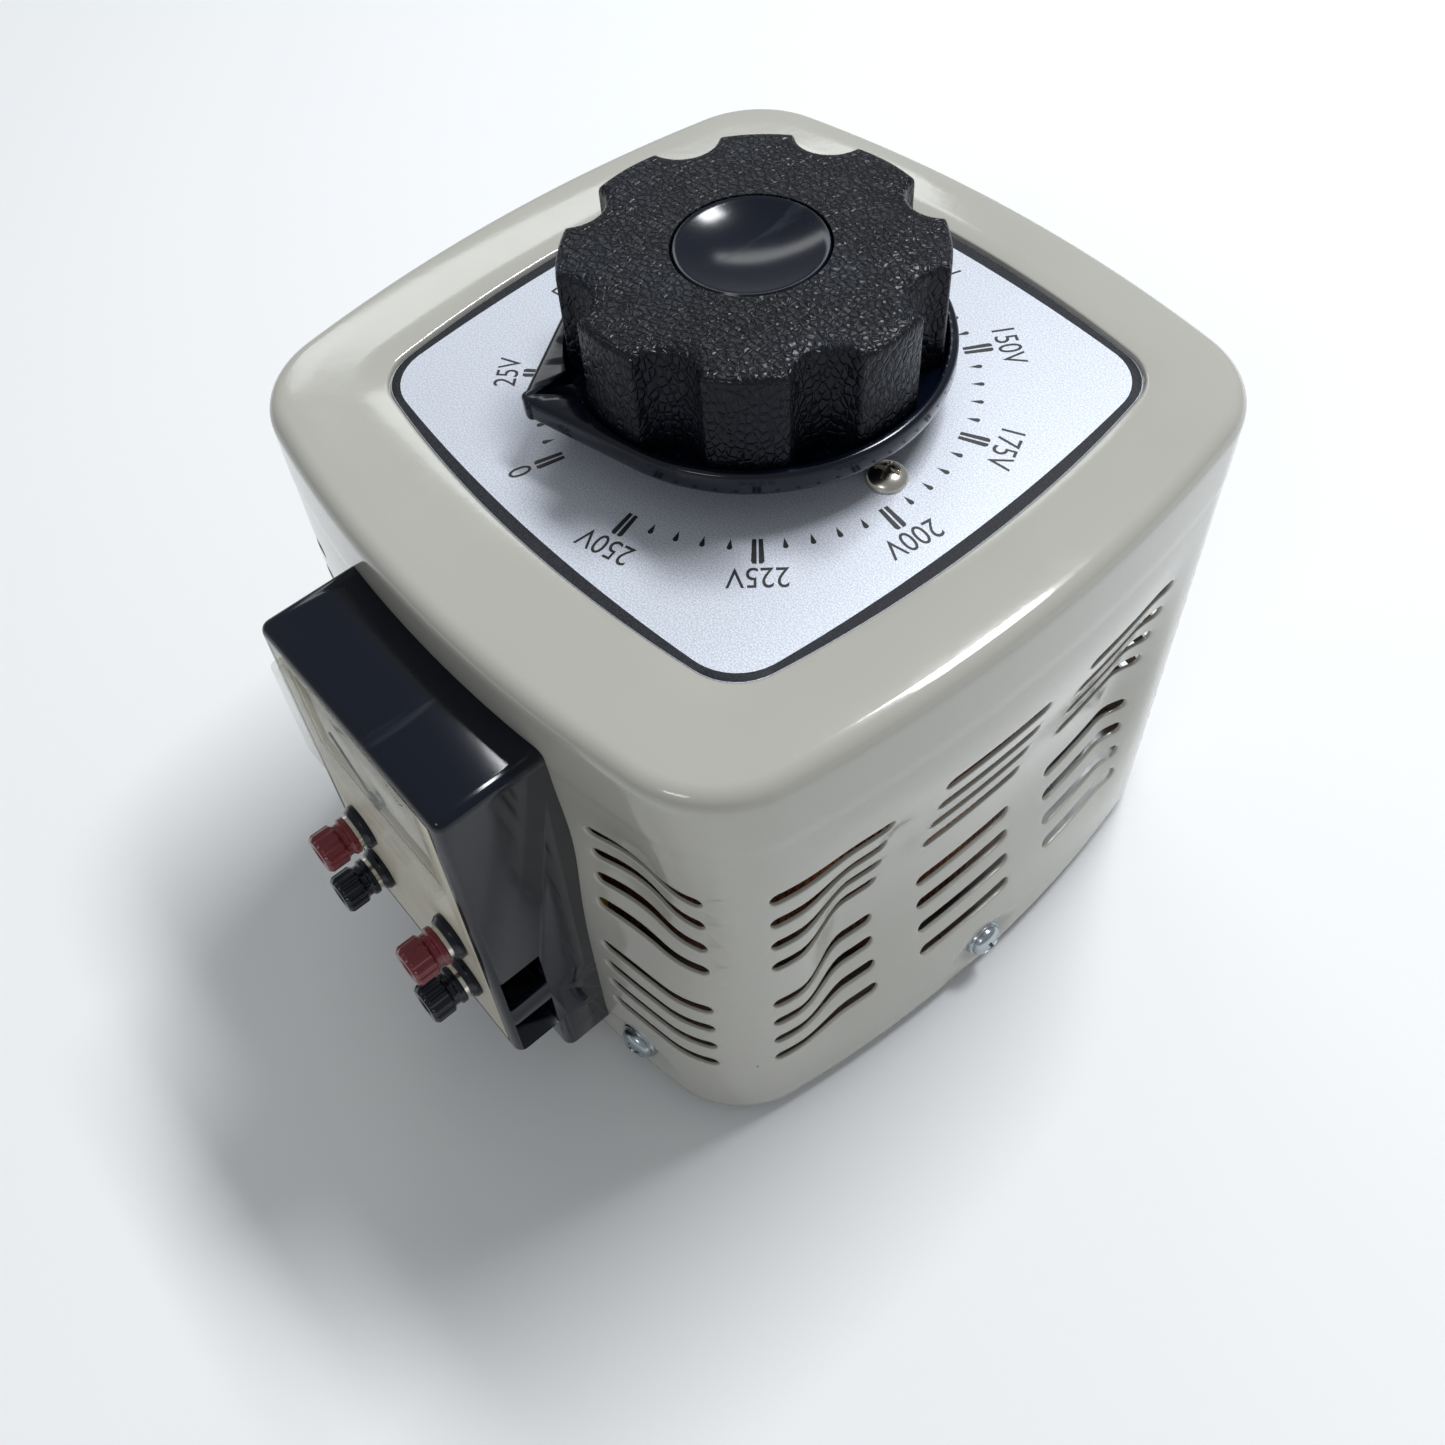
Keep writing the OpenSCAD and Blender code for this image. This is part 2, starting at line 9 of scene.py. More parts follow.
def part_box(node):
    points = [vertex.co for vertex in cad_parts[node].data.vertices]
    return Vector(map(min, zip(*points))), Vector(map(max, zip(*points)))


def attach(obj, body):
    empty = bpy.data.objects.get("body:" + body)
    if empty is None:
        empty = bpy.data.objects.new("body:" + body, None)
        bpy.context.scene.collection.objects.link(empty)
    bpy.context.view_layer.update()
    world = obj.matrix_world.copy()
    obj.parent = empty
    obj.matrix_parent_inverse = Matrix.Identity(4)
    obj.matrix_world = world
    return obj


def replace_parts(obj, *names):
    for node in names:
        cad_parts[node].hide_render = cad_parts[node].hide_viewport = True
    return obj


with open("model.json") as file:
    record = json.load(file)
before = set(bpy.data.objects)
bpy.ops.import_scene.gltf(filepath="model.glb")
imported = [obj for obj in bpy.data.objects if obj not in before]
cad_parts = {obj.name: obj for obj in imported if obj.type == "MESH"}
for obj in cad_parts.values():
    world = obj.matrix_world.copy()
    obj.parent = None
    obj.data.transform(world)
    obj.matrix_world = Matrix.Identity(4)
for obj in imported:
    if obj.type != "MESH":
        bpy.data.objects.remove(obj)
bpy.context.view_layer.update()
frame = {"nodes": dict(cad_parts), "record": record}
mm = 0.001
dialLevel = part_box("dial_plate")[1].z
print("frame loaded,", len(frame["nodes"]), "nodes")


class Wire:
    # a shader socket that can be used in sums
    def __init__(self, tree, socket=None):
        self.tree = tree
        self.socket = socket

    def node(self, kind, settings=None, sockets=None, out=0):
        made = self.tree.nodes.new("ShaderNode" + kind)
        for key, value in (settings or {}).items():
            if key == "stops":
                setStops(made.color_ramp, value)
            else:
                setattr(made, key, value)
        for key, value in (sockets or {}).items():
            plug(self.tree, made.inputs[key], value)
        return Wire(self.tree, made.outputs[out])

    def maths(self, operation, first, second=0.0):
        return self.node("Math", {"operation": operation}, {0: first, 1: second})

    def __add__(self, other):
        return self.maths("ADD", self, other)

    def __radd__(self, other):
        return self.maths("ADD", other, self)

    def __sub__(self, other):
        return self.maths("SUBTRACT", self, other)

    def __rsub__(self, other):
        return self.maths("SUBTRACT", other, self)

    def __mul__(self, other):
        return self.maths("MULTIPLY", self, other)

    def __rmul__(self, other):
        return self.maths("MULTIPLY", other, self)

    def ramp(self, low, high):
        # 0 below low, 1 above high
        return self.node("MapRange", {"interpolation_type": "SMOOTHSTEP"},
                         {"Value": self, "From Min": low, "From Max": high})

    def colours(self, first, second):
        # first where this is 0, second where it is 1
        return self.node("Mix", {"data_type": "RGBA"}, {0: self, 6: first, 7: second}, out=2)


def setStops(ramp, stops):
    while len(ramp.elements) < len(stops):
        ramp.elements.new(0.5)
    for element, (place, shade) in zip(ramp.elements, stops):
        element.position = place
        element.color = (*shade, 1)


def plug(tree, socket, value):
    if isinstance(value, Wire):
        tree.links.new(value.socket, socket)
    elif isinstance(value, tuple) and len(value) == 3 and socket.type == "RGBA":
        socket.default_value = (*value, 1)
    else:
        socket.default_value = value


def noise(wire, scale, detail=3.0, stretch=None):
    place = wire.node("TexCoord", out=3)
    if stretch:
        place = wire.node("Mapping", {}, {"Vector": place, "Scale": stretch})
    return wire.node("TexNoise", {}, {"Vector": place, "Scale": scale, "Detail": detail})


def cells(wire, scale, feature="DISTANCE_TO_EDGE", stretch=None):
    place = wire.node("TexCoord", out=3)
    if stretch:
        place = wire.node("Mapping", {}, {"Vector": place, "Scale": stretch})
    return wire.node("TexVoronoi", {"feature": feature}, {"Vector": place, "Scale": scale})


def bump(wire, height, depth, strength=1.0, under=None):
    sockets = {"Height": height, "Distance": depth, "Strength": strength}
    if under:
        sockets["Normal"] = under
    return wire.node("Bump", {}, sockets)


def finish(name, paint, **fixed):
    # paint(wire, put) wires what varies, fixed holds what is the same all over
    material = bpy.data.materials.new(name)
    material.use_nodes = True
    tree = material.node_tree
    shader = tree.nodes["Principled BSDF"]
    for key, value in fixed.items():
        plug(tree, shader.inputs[key.replace("_", " ")], value)
    wire = Wire(tree)

    def put(socket, value):
        plug(tree, shader.inputs[socket], value)

    paint(wire, put)
    return material


caseLook = dict(colour=(0.46, 0.448, 0.40), shade=(0.43, 0.418, 0.37), gloss=0.1, peel=0.00003)


def paintCase(wire, put):
    cloud = noise(wire, 14, 4).ramp(0.2, 0.8)
    specks = cells(wire, 55, "F1")
    spread = noise(wire, 9, 1).ramp(0.6, 0.66)
    speck = specks.ramp(0.03, 0.018) * spread
    enamel = cloud.colours(caseLook["shade"], caseLook["colour"])
    put("Base Color", speck.colours(enamel, (0.05, 0.045, 0.035)))
    smear = noise(wire, 60, 5, (1, 1, 0.25)).ramp(0.4, 0.9)
    put("Roughness", caseLook["gloss"] + smear * 0.06)
    peel = noise(wire, 420, 2)
    waves = noise(wire, 60, 2)
    put("Normal", bump(wire, waves, 0.00012, 0.35, bump(wire, peel, caseLook["peel"], 0.5)))


def paintPlate(wire, put):
    grain = noise(wire, 2900, 2)
    cloud = noise(wire, 30, 3)
    tone = grain.ramp(0.32, 0.68)
    put("Base Color", tone.colours((0.47, 0.495, 0.55), (0.71, 0.74, 0.81)))
    put("Roughness", 0.36 + cloud * 0.08 + tone * 0.08)
    put("Normal", bump(wire, grain, 0.00002, 0.5))


def paintPlateEdge(wire, put):
    grain = noise(wire, 3000, 2).ramp(0.35, 0.7)
    put("Base Color", grain.colours((0.006, 0.007, 0.010), (0.026, 0.028, 0.036)))
    put("Roughness", 0.5 + grain * 0.12)


def paintInk(wire, put):
    wornInk = noise(wire, 1500, 3).ramp(0.55, 0.9)
    put("Base Color", wornInk.colours((0.012, 0.012, 0.014), (0.05, 0.05, 0.055)))
    put("Roughness", 0.4 + wornInk * 0.2)


# the lighter blue-grey colour for the pebble tops is a painted sheen standing in for the lamps' reflection
grainLook = dict(cell=800.0, depth=0.0004, colour=(0.002, 0.0026, 0.005), pebbleSheen=(0.009, 0.012, 0.021))


def paintGrain(wire, put):
    warp = noise(wire, 260, 3)
    pebble = cells(wire, grainLook["cell"], "SMOOTH_F1", (1, 1, 0.6))
    crease = cells(wire, grainLook["cell"] * 0.8, "DISTANCE_TO_EDGE", (1, 1, 0.6)).ramp(0.0, 0.2)
    height = crease * 0.5 + (1 - pebble) * 0.8 + warp * 0.5
    patch = noise(wire, 55, 3).ramp(0.35, 0.75)
    # painted light: in patches the raised pebble tops take the lighter blue-grey as a painted sheen, and the
    # grooves between them keep the darker colour as painted shade
    put("Base Color", (crease * patch).colours(grainLook["colour"], grainLook["pebbleSheen"]))
    put("Roughness", 0.3 + patch * 0.1)
    put("Normal", bump(wire, height, grainLook["depth"], 1.0))


def glossPaint(dark, dusty, gloss, scuff=0.12):
    # moulded plastic with faint dust and fine scuffs
    def paint(wire, put):
        dust = cells(wire, 900, "F1").ramp(0.12, 0.05) * noise(wire, 40, 2).ramp(0.45, 0.75)
        cloud = noise(wire, 25, 3)
        scratch = noise(wire, 220, 4, (1, 0.06, 1)).ramp(0.62, 0.74)
        put("Base Color", (dust * 0.5 + scratch * 0.12).colours(dark, dusty))
        put("Roughness", gloss + cloud * 0.06 + scratch * scuff + dust * 0.3)
        put("Normal", bump(wire, noise(wire, 130, 2), 0.00006, 0.3))
    return paint


def metalPaint(light, dull, gloss, grainScale=900.0, stretch=(1, 1, 1), tarnish=0.5):
    def paint(wire, put):
        stain = noise(wire, 120, 5).ramp(0.4, 0.8)
        lines = noise(wire, grainScale, 3, stretch)
        put("Base Color", (stain * tarnish).colours(light, dull))
        put("Roughness", gloss + stain * 0.14 + lines * 0.08)
        put("Normal", bump(wire, lines, 0.00002, 0.45))
    return paint


def plainPaint(light, dark, gloss, grainScale=500.0, depth=0.00004):
    def paint(wire, put):
        grain = noise(wire, grainScale, 4)
        cloud = noise(wire, 45, 3).ramp(0.3, 0.75)
        put("Base Color", cloud.colours(light, dark))
        put("Roughness", gloss + grain * 0.15)
        put("Normal", bump(wire, grain, depth, 0.5))
    return paint


def paintWinding(wire, put):
    tint = noise(wire, 90, 4).ramp(0.3, 0.75)
    put("Base Color", tint.colours((0.50, 0.17, 0.055), (0.30, 0.085, 0.03)))
    put("Roughness", 0.24 + tint * 0.16)
    put("Normal", bump(wire, noise(wire, 900, 2), 0.00003, 0.4))


def paintClear(wire, put):
    # a thin clear moulding, a little hazy
    haze = noise(wire, 70, 4).ramp(0.35, 0.8)
    put("Base Color", haze.colours((0.55, 0.54, 0.48), (0.66, 0.65, 0.6)))
    put("Roughness", 0.1 + haze * 0.12)
    put("Alpha", 0.14 + haze * 0.12)


navy = (0.002, 0.0038, 0.0105)
greyDust = (0.07, 0.08, 0.10)
looks = dict(
    case_paint=finish("enamel", paintCase, Coat_Weight=0.25, Coat_Roughness=0.05, IOR=1.5),
    plate=finish("satinSilver", paintPlate, Metallic=0.3),
    plateEdge=finish("darkBorder", paintPlateEdge, Specular_IOR_Level=0.25),
    ink=finish("dialInk", paintInk),
    grained_plastic=finish("leatherGrain", paintGrain, IOR=1.5, Specular_IOR_Level=0.3),
    black_plastic=finish("glossBlack", glossPaint(navy, greyDust, 0.12), IOR=1.5, Specular_IOR_Level=0.4),
    red_plastic=finish("darkRed", glossPaint((0.16, 0.006, 0.012), (0.35, 0.12, 0.12), 0.2), Coat_Weight=0.3),
    zinc=finish("zincPlate", metalPaint((0.46, 0.51, 0.54), (0.25, 0.30, 0.32), 0.2), Metallic=1.0),
    nickel=finish("nickelPlate", metalPaint((0.72, 0.68, 0.60), (0.50, 0.45, 0.38), 0.13), Metallic=1.0),
    sheet_steel=finish("galvanised", metalPaint((0.50, 0.51, 0.52), (0.34, 0.35, 0.36), 0.34, 300),
                       Metallic=0.95),
    aluminium=finish("castAlloy", metalPaint((0.60, 0.61, 0.62), (0.42, 0.43, 0.44), 0.4, 700),
                     Metallic=0.95),
    brass=finish("turnedBrass", metalPaint((0.70, 0.49, 0.18), (0.42, 0.26, 0.09), 0.22, 900, (1, 1, 6)),
                 Metallic=1.0),
    core_steel=finish("stripSteel", metalPaint((0.22, 0.23, 0.25), (0.10, 0.10, 0.11), 0.4, 900, (1, 1, 8)),
                      Metallic=0.9),
    copper=finish("varnishedCopper", paintWinding, Metallic=0.85, Coat_Weight=0.4, Coat_Roughness=0.12),
    bare_copper=finish("bareCopper", metalPaint((0.80, 0.36, 0.18), (0.45, 0.16, 0.08), 0.2), Metallic=1.0),
    rubber=finish("footRubber", plainPaint((0.02, 0.02, 0.021), (0.035, 0.034, 0.033), 0.65)),
    bakelite=finish("brownLaminate", plainPaint((0.16, 0.055, 0.02), (0.08, 0.025, 0.01), 0.3)),
    carbon=finish("graphite", plainPaint((0.02, 0.02, 0.02), (0.045, 0.045, 0.045), 0.5)),
    ivory=finish("ivoryPanel", plainPaint((0.60, 0.56, 0.45), (0.52, 0.48, 0.38), 0.28, 700, 0.00002)),
    scale_card=finish("printedCard", plainPaint((0.78, 0.77, 0.72), (0.70, 0.69, 0.63), 0.6)),
    wire=finish("yellowSleeve", plainPaint((0.55, 0.33, 0.02), (0.42, 0.24, 0.015), 0.4)),
    clear=finish("clearCover", paintClear, IOR=1.3, Specular_IOR_Level=0.4),
)
print("finishes ready,", len(looks))


def smoothstep(low, high, value):
    t = min(max((value - low) / (high - low), 0), 1)
    return t * t * (3 - 2 * t)


def makePiece(name, points, faces, look, body="case", crease=35):
    mesh = bpy.data.meshes.new(name)
    mesh.from_pydata([tuple(p) for p in points], [], faces)
    piece = bpy.data.objects.new(name, mesh)
    bpy.context.scene.collection.objects.link(piece)
    tidyMesh(mesh, crease)
    mesh.materials.append(looks[look])
    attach(piece, body)
    return piece


def tidyMesh(mesh, crease):
    work = bmesh.new()
    work.from_mesh(mesh)
    bmesh.ops.remove_doubles(work, verts=work.verts, dist=1e-7)
    bmesh.ops.recalc_face_normals(work, faces=work.faces)
    work.to_mesh(mesh)
    work.free()
    mesh.shade_smooth()
    mesh.set_sharp_from_angle(angle=math.radians(crease))


def settle(piece, crease=35):
    # turns the modifiers into the mesh
    bpy.context.view_layer.update()
    graph = bpy.context.evaluated_depsgraph_get()
    mesh = bpy.data.meshes.new_from_object(piece.evaluated_get(graph))
    piece.modifiers.clear()
    piece.data = mesh
    mesh.shade_smooth()
    mesh.set_sharp_from_angle(angle=math.radians(crease))
    return piece


def carve(piece, cutters, operation="DIFFERENCE"):
    for cutter in cutters:
        modifier = piece.modifiers.new("carve", "BOOLEAN")
        modifier.object = cutter
        modifier.operation = operation
        modifier.solver = "EXACT"
    settle(piece)
    for cutter in cutters:
        bpy.data.objects.remove(cutter)
    return piece


def soften(piece, width, segments=3, angle=40):
    modifier = piece.modifiers.new("soften", "BEVEL")
    modifier.width = width
    modifier.segments = segments
    modifier.limit_method = "ANGLE"
    modifier.angle_limit = math.radians(angle)
    modifier.harden_normals = True
    return settle(piece, 60)


def block(low, high, turn=None, round=0.0, segments=4):
    # a loose box used for cutting or as a start, with rounded edges if asked
    mesh = bpy.data.meshes.new("block")
    work = bmesh.new()
    bmesh.ops.create_cube(work, size=1)
    size = [high[i] - low[i] for i in range(3)]
    middle = [(high[i] + low[i]) / 2 for i in range(3)]
    spread = Matrix.Translation(middle) @ Matrix.Diagonal((*size, 1))
    bmesh.ops.transform(work, matrix=spread, verts=work.verts)
    if round:
        bmesh.ops.bevel(work, geom=work.edges[:], offset=round, segments=segments, affect="EDGES",
                        profile=0.5)
    if turn:
        bmesh.ops.transform(work, matrix=turn, verts=work.verts)
    work.to_mesh(mesh)
    work.free()
    piece = bpy.data.objects.new("block", mesh)
    bpy.context.scene.collection.objects.link(piece)
    return piece


def loft(rings, capStart=False, capEnd=False):
    points = [p for ring in rings for p in ring]
    count = len(rings[0])
    faces = []
    for k in range(len(rings) - 1):
        for i in range(count):
            j = (i + 1) % count
            faces.append((k * count + i, k * count + j, (k + 1) * count + j, (k + 1) * count + i))
    if capStart:
        faces.append(tuple(reversed(range(count))))
    if capEnd:
        faces.append(tuple(range((len(rings) - 1) * count, len(rings) * count)))
    return points, faces


def rounded(profile, segments=5):
    # fillets the corners of an outline given as (radius, height, fillet)
    result = []
    for index, (r, z, fillet) in enumerate(profile):
        if not fillet or index in (0, len(profile) - 1):
            result.append((r, z))
            continue
        corner = Vector((r, z))
        before = (Vector(profile[index - 1][:2]) - corner).normalized()
        after = (Vector(profile[index + 1][:2]) - corner).normalized()
        half = before.angle(after) / 2
        reach = fillet / math.tan(half)
        centre = corner + (before + after).normalized() * (fillet / math.sin(half))
        start = corner + before * reach - centre
        end = corner + after * reach - centre
        for step in range(segments + 1):
            arm = start.slerp(end, step / segments) * fillet
            result.append(tuple(centre + arm))
    return result


def latheRings(profile, steps, place=None):
    place = place or Matrix.Identity(4)
    rings = []
    for r, z in profile:
        ring = []
        for i in range(steps):
            angle = 2 * math.pi * i / steps
            ring.append(place @ Vector((r * math.cos(angle), r * math.sin(angle), z)))
        rings.append(ring)
    return rings


def lathe(name, profile, look, body="case", steps=64, place=None, closed=False):
    # profile points are (radius, height, fillet) in metres, closed joins the last to the first
    outline = rounded(profile)
    rings = latheRings(outline, steps, place)
    if closed:
        rings.append(rings[0])
    points, faces = loft(rings, not closed and outline[0][0] > 1e-6, not closed and outline[-1][0] > 1e-6)
    return makePiece(name, points, faces, look, body)


def ringBox(node):
    low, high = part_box(node)
    return low, high, (low + high) / 2


cover = dict(
    bow=12.2, corner=26.3, fillet=4.3, wall=0.9,      # millimetres from here on
    slotLength=32, slotHeight=4.4, slotPitch=10.2, lip=0.35,
    groups=14, groupShift=-7.2, upperRow=114.2, lowerRow=64.2, rowSlots=4,
    across=24, upright=6,                             # mesh steps of one slot's tile
    waistDepth=6.4, waistMiddle=70.5, waistReach=60, waistFlat=46, waistEdge=63,
    drawLine=135.5, screwLevel=14.5,
    windowGroup=11, plainGroup=10,                    # the two groups behind the terminal box
)
coverLow, coverHigh = [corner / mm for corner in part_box("cover")]
coverMiddle = (coverLow + coverHigh) / 2
coverHalf = (coverHigh.x - coverLow.x) / 2
columns = cover["groups"] * cover["across"]


def pillow(half, bow, corner, fraction, centre=(0, 0)):
    # place and outward direction at a share of the way round a square with bowed sides
    side = (half ** 2 + bow ** 2) / (2 * bow)
    shift = side - half
    reach = side - corner
    cornerAt = (math.sqrt(2 * reach ** 2 - shift ** 2) - shift) / 2
    sweep = math.asin(cornerAt / reach)
    sideLength = side * sweep
    quarter = 2 * sideLength + corner * (math.pi / 2 - 2 * sweep)
    turns, along = divmod(fraction * 4 * quarter, quarter)
    if along < sideLength:
        angle = along / side
        x, y = side * math.cos(angle) - shift, side * math.sin(angle)
    elif along < quarter - sideLength:
        angle = sweep + (along - sideLength) / corner
        x, y = cornerAt + corner * math.cos(angle), cornerAt + corner * math.sin(angle)
    else:
        angle = math.pi / 2 - (quarter - along) / side
        x, y = side * math.cos(angle), side * math.sin(angle) - shift
    turn = turns * math.pi / 2
    place = Matrix.Rotation(turn, 2) @ Vector((x, y))
    return place + Vector(centre), Vector((math.cos(angle + turn), math.sin(angle + turn))), quarter


perimeter = 4 * pillow(coverHalf, cover["bow"], cover["corner"], 0)[2]
tileWidth = perimeter / cover["groups"]


def hollow(along, z, middleAlong, middleZ, wide, tall, depth):
    return depth * math.exp(-((along - middleAlong) / wide) ** 2 / 2 - ((z - middleZ) / tall) ** 2 / 2)


def leaf(along, z, middle):
    # the pressed seat round a side screw
    across = (along - middle) / 13
    up = (z - cover["screwLevel"]) / 6.2
    return 1.5 * smoothstep(0, 0.8, 1 - abs(across) ** 1.6 - up * up)


def pressed(fraction, z):
    # how far the wall sits inside its plain outline
    face = round(fraction * 4)
    along = (fraction * 4 - face) * perimeter / 4
    face %= 4
    depth = 0.14 * smoothstep(cover["drawLine"] + 0.8, cover["drawLine"] - 0.8, z)
    if face == 3:
        depth += hollow(along, z, 58, 103.5, 12, 17, 4.8)
        return depth + leaf(along, z, 52) + leaf(along, z, -52)
    up = smoothstep(0, 1, 1 - abs(z - cover["waistMiddle"]) / cover["waistReach"])
    across = 1 - smoothstep(cover["waistFlat"], cover["waistEdge"], abs(along))
    depth += cover["waistDepth"] * up * across
    if face == 0:
        depth += hollow(along, z, -35, 106, 2.5, 4, 0.8)
    return depth + leaf(along, z, 0)


def wallPoint(u, z, inset=0.0):
    # u runs round the outline in millimetres, z is the height
    fraction = (u / perimeter) % 1
    place, out, _ = pillow(coverHalf, cover["bow"], cover["corner"], fraction, coverMiddle.xy)
    place = place - out * (pressed(fraction, z) + inset)
    return Vector((place.x, place.y, z)) * mm


def tileRim():
    # points round one tile and the matching points round its slot, both about the tile's middle
    across, upright = cover["across"], cover["upright"]
    rim, slot = [], []
    halfWide, halfTall = tileWidth / 2, cover["slotPitch"] / 2
    radius = cover["slotHeight"] / 2
    straight = cover["slotLength"] / 2 - radius
    endSteps = 4
    middleSteps = across - 2 * endSteps
    bendSteps = 2 * endSteps + upright

    def bend(step):
        # right end of the slot, from its lower to its upper corner
        angle = math.pi * (step / bendSteps - 0.5)
        return straight + radius * math.cos(angle), radius * math.sin(angle)

    for step in range(across):
        rim.append((-halfWide + tileWidth * step / across, -halfTall))
        if step < endSteps:
            x, y = bend(endSteps - step)
            slot.append((-x, y))
        elif step <= endSteps + middleSteps:
            slot.append((-straight + 2 * straight * (step - endSteps) / middleSteps, -radius))
        else:
            slot.append(bend(step - endSteps - middleSteps))
    for step in range(upright):
        rim.append((halfWide, -halfTall + 2 * halfTall * step / upright))
        slot.append(bend(endSteps + step))
    opposite = [(-x, -y) for x, y in rim], [(-x, -y) for x, y in slot]
    return rim + opposite[0], slot + opposite[1]


class Sheet:
    # collects points and faces, sharing points that fall on the same spot
    def __init__(self):
        self.points = []
        self.faces = []

    def strip(self, first, second, closed=False):
        start = len(self.points)
        self.points += first + second
        count = len(first)
        for i in range(count if closed else count - 1):
            j = (i + 1) % count
            self.faces.append((start + i, start + j, start + count + j, start + count + i))


def slotTile(sheet, middleU, middleZ, rim, slot):
    wall, lip = cover["wall"], cover["lip"]
    sizeX, sizeZ = cover["slotLength"] / 2, cover["slotHeight"] / 2

    def ring(spread, inset, share=0.0):
        # spread widens the slot's outline, share moves it towards the tile's rim
        result = []
        for (rimX, rimZ), (slotX, slotZ) in zip(rim, slot):
            x = slotX * (1 + spread / sizeX)
            z = slotZ * (1 + spread / sizeZ)
            x += (rimX - x) * share
            z += (rimZ - z) * share
            result.append(wallPoint(middleU + x, middleZ + z, inset))
        return result

    rings = [ring(lip, 0, share) for share in (1, 0.62, 0.25, 0)]
    for step in (1, 2, 3):
        angle = math.pi / 2 * step / 3
        rings.append(ring(lip * (1 - math.sin(angle)), lip * (1 - math.cos(angle))))
    rings += [ring(0, wall), ring(0, wall, 0.5), ring(0, wall, 1)]
    for first, second in zip(rings, rings[1:]):
        sheet.strip(first, second, closed=True)


def plainTile(sheet, middleU, middleZ):
    for inset in (0, cover["wall"]):
        rows = []
        for k in range(cover["upright"] + 1):
            z = middleZ - cover["slotPitch"] / 2 + cover["slotPitch"] * k / cover["upright"]
            rows.append([wallPoint(middleU - tileWidth / 2 + tileWidth * i / cover["across"], z, inset)
                         for i in range(cover["across"] + 1)])
        for first, second in zip(rows, rows[1:]):
            sheet.strip(first, second)


def spans(start, end, step):
    count = max(1, round(abs(end - start) / step))
    return [start + (end - start) * k / count for k in range(count + 1)]


def buildCover():
    sheet = Sheet()
    rim, slot = tileRim()
    pitch = cover["slotPitch"]
    firstU = cover["groupShift"] - tileWidth / 2
    aroundU = [firstU + perimeter * i / columns for i in range(columns)]
    for group in range(cover["groups"]):
        middleU = cover["groupShift"] + tileWidth * group
        for top in (cover["upperRow"], cover["lowerRow"]):
            for k in range(cover["rowSlots"]):
                if group == cover["plainGroup"]:
                    plainTile(sheet, middleU, top - k * pitch)
                elif group != cover["windowGroup"]:
                    slotTile(sheet, middleU, top - k * pitch, rim, slot)
    half = pitch / 2
    rows = cover["rowSlots"]
    bandTop = cover["lowerRow"] + half
    bandBottom = cover["upperRow"] - (rows - 1) * pitch - half
    for inset in (0, cover["wall"]):
        levels = spans(bandTop, bandBottom, 2.3)
        for low, high in zip(levels, levels[1:]):
            for group in range(cover["groups"]):
                if group == cover["windowGroup"]:
                    continue
                us = [cover["groupShift"] + tileWidth * (group - 0.5 + i / cover["across"])
                      for i in range(cover["across"] + 1)]
                sheet.strip([wallPoint(u, low, inset) for u in us], [wallPoint(u, high, inset) for u in us])
    # lower wall, its rolled edge and the lower wall inside
    wall = cover["wall"]
    bottom = coverLow.z
    lowTop = cover["lowerRow"] - (rows - 1) * pitch - half
    outside = [(z, 0) for z in spans(lowTop, bottom + 0.5, 1.5)]
    edge = [(bottom + 0.15, 0.15), (bottom, wall / 2), (bottom + 0.15, wall - 0.15)]
    inside = [(z, wall) for z in spans(bottom + 0.5, lowTop, 1.5)]
    path = outside + edge + inside
    rings = [[wallPoint(u, z, inset) for u in aroundU] for z, inset in path]
    for first, second in zip(rings, rings[1:]):
        sheet.strip(first, second, closed=True)
    buildCoverTop(sheet, aroundU)
    points, faces = sheet.points, sheet.faces
    piece = makePiece("coverSheet", points, faces, "case_paint", crease=50)
    closeWindow(piece)
    return piece


def buildCoverTop(sheet, aroundU):
    wall, fillet = cover["wall"], cover["fillet"]
    top = coverHigh.z
    start = cover["upperRow"] + cover["slotPitch"] / 2
    shoulder = top - fillet

    def outline(inset, z):
        return [wallPoint(u, z, inset) for u in aroundU]

    rings = [outline(0, z) for z in spans(start, shoulder, 1.7)]
    for step in range(1, 9):
        angle = math.pi / 2 * step / 8
        rings.append(outline(fillet * (1 - math.cos(angle)), shoulder + fillet * math.sin(angle)))
    plateLow, plateHigh, plateMiddle = ringBox("dial_plate")
    half = (plateHigh.x - plateLow.x) / 2 / mm + 0.4
    centre = plateMiddle.xy / mm

    def recess(grow, z):
        ring = []
        for u in aroundU:
            place, _, _ = pillow(half + grow, 7.8, 13 + grow, (u / perimeter) % 1, centre)
            ring.append(Vector((place.x, place.y, z)) * mm)
        return ring

    outer, inner = rings[-1], recess(0.6, top)
    for share in (0.3, 0.65):
        rings.append([a.lerp(b, share) for a, b in zip(outer, inner)])
    floor = plateLow.z / mm - 0.02
    rings += [inner, recess(0.2, top - 0.12), recess(0, top - 0.45)]
    rings += [recess(0, floor + 0.2), recess(-0.3, floor)]
    hole = 12

    def disc(radius, z):
        result = []
        for u in aroundU:
            angle = 2 * math.pi * u / perimeter
            result.append(Vector((radius * math.cos(angle), radius * math.sin(angle), z)) * mm)
        return result

    underside = top - 2.6
    rings += [disc(40, floor), disc(hole, floor), disc(hole, underside), disc(60, underside)]
    rings.append(outline(fillet + 2, underside))
    rings.append(outline(fillet * 0.6, underside - 0.4))
    rings += [outline(wall, z) for z in spans(shoulder - 1, start, 4)]
    for first, second in zip(rings, rings[1:]):
        sheet.strip(first, second, closed=True)


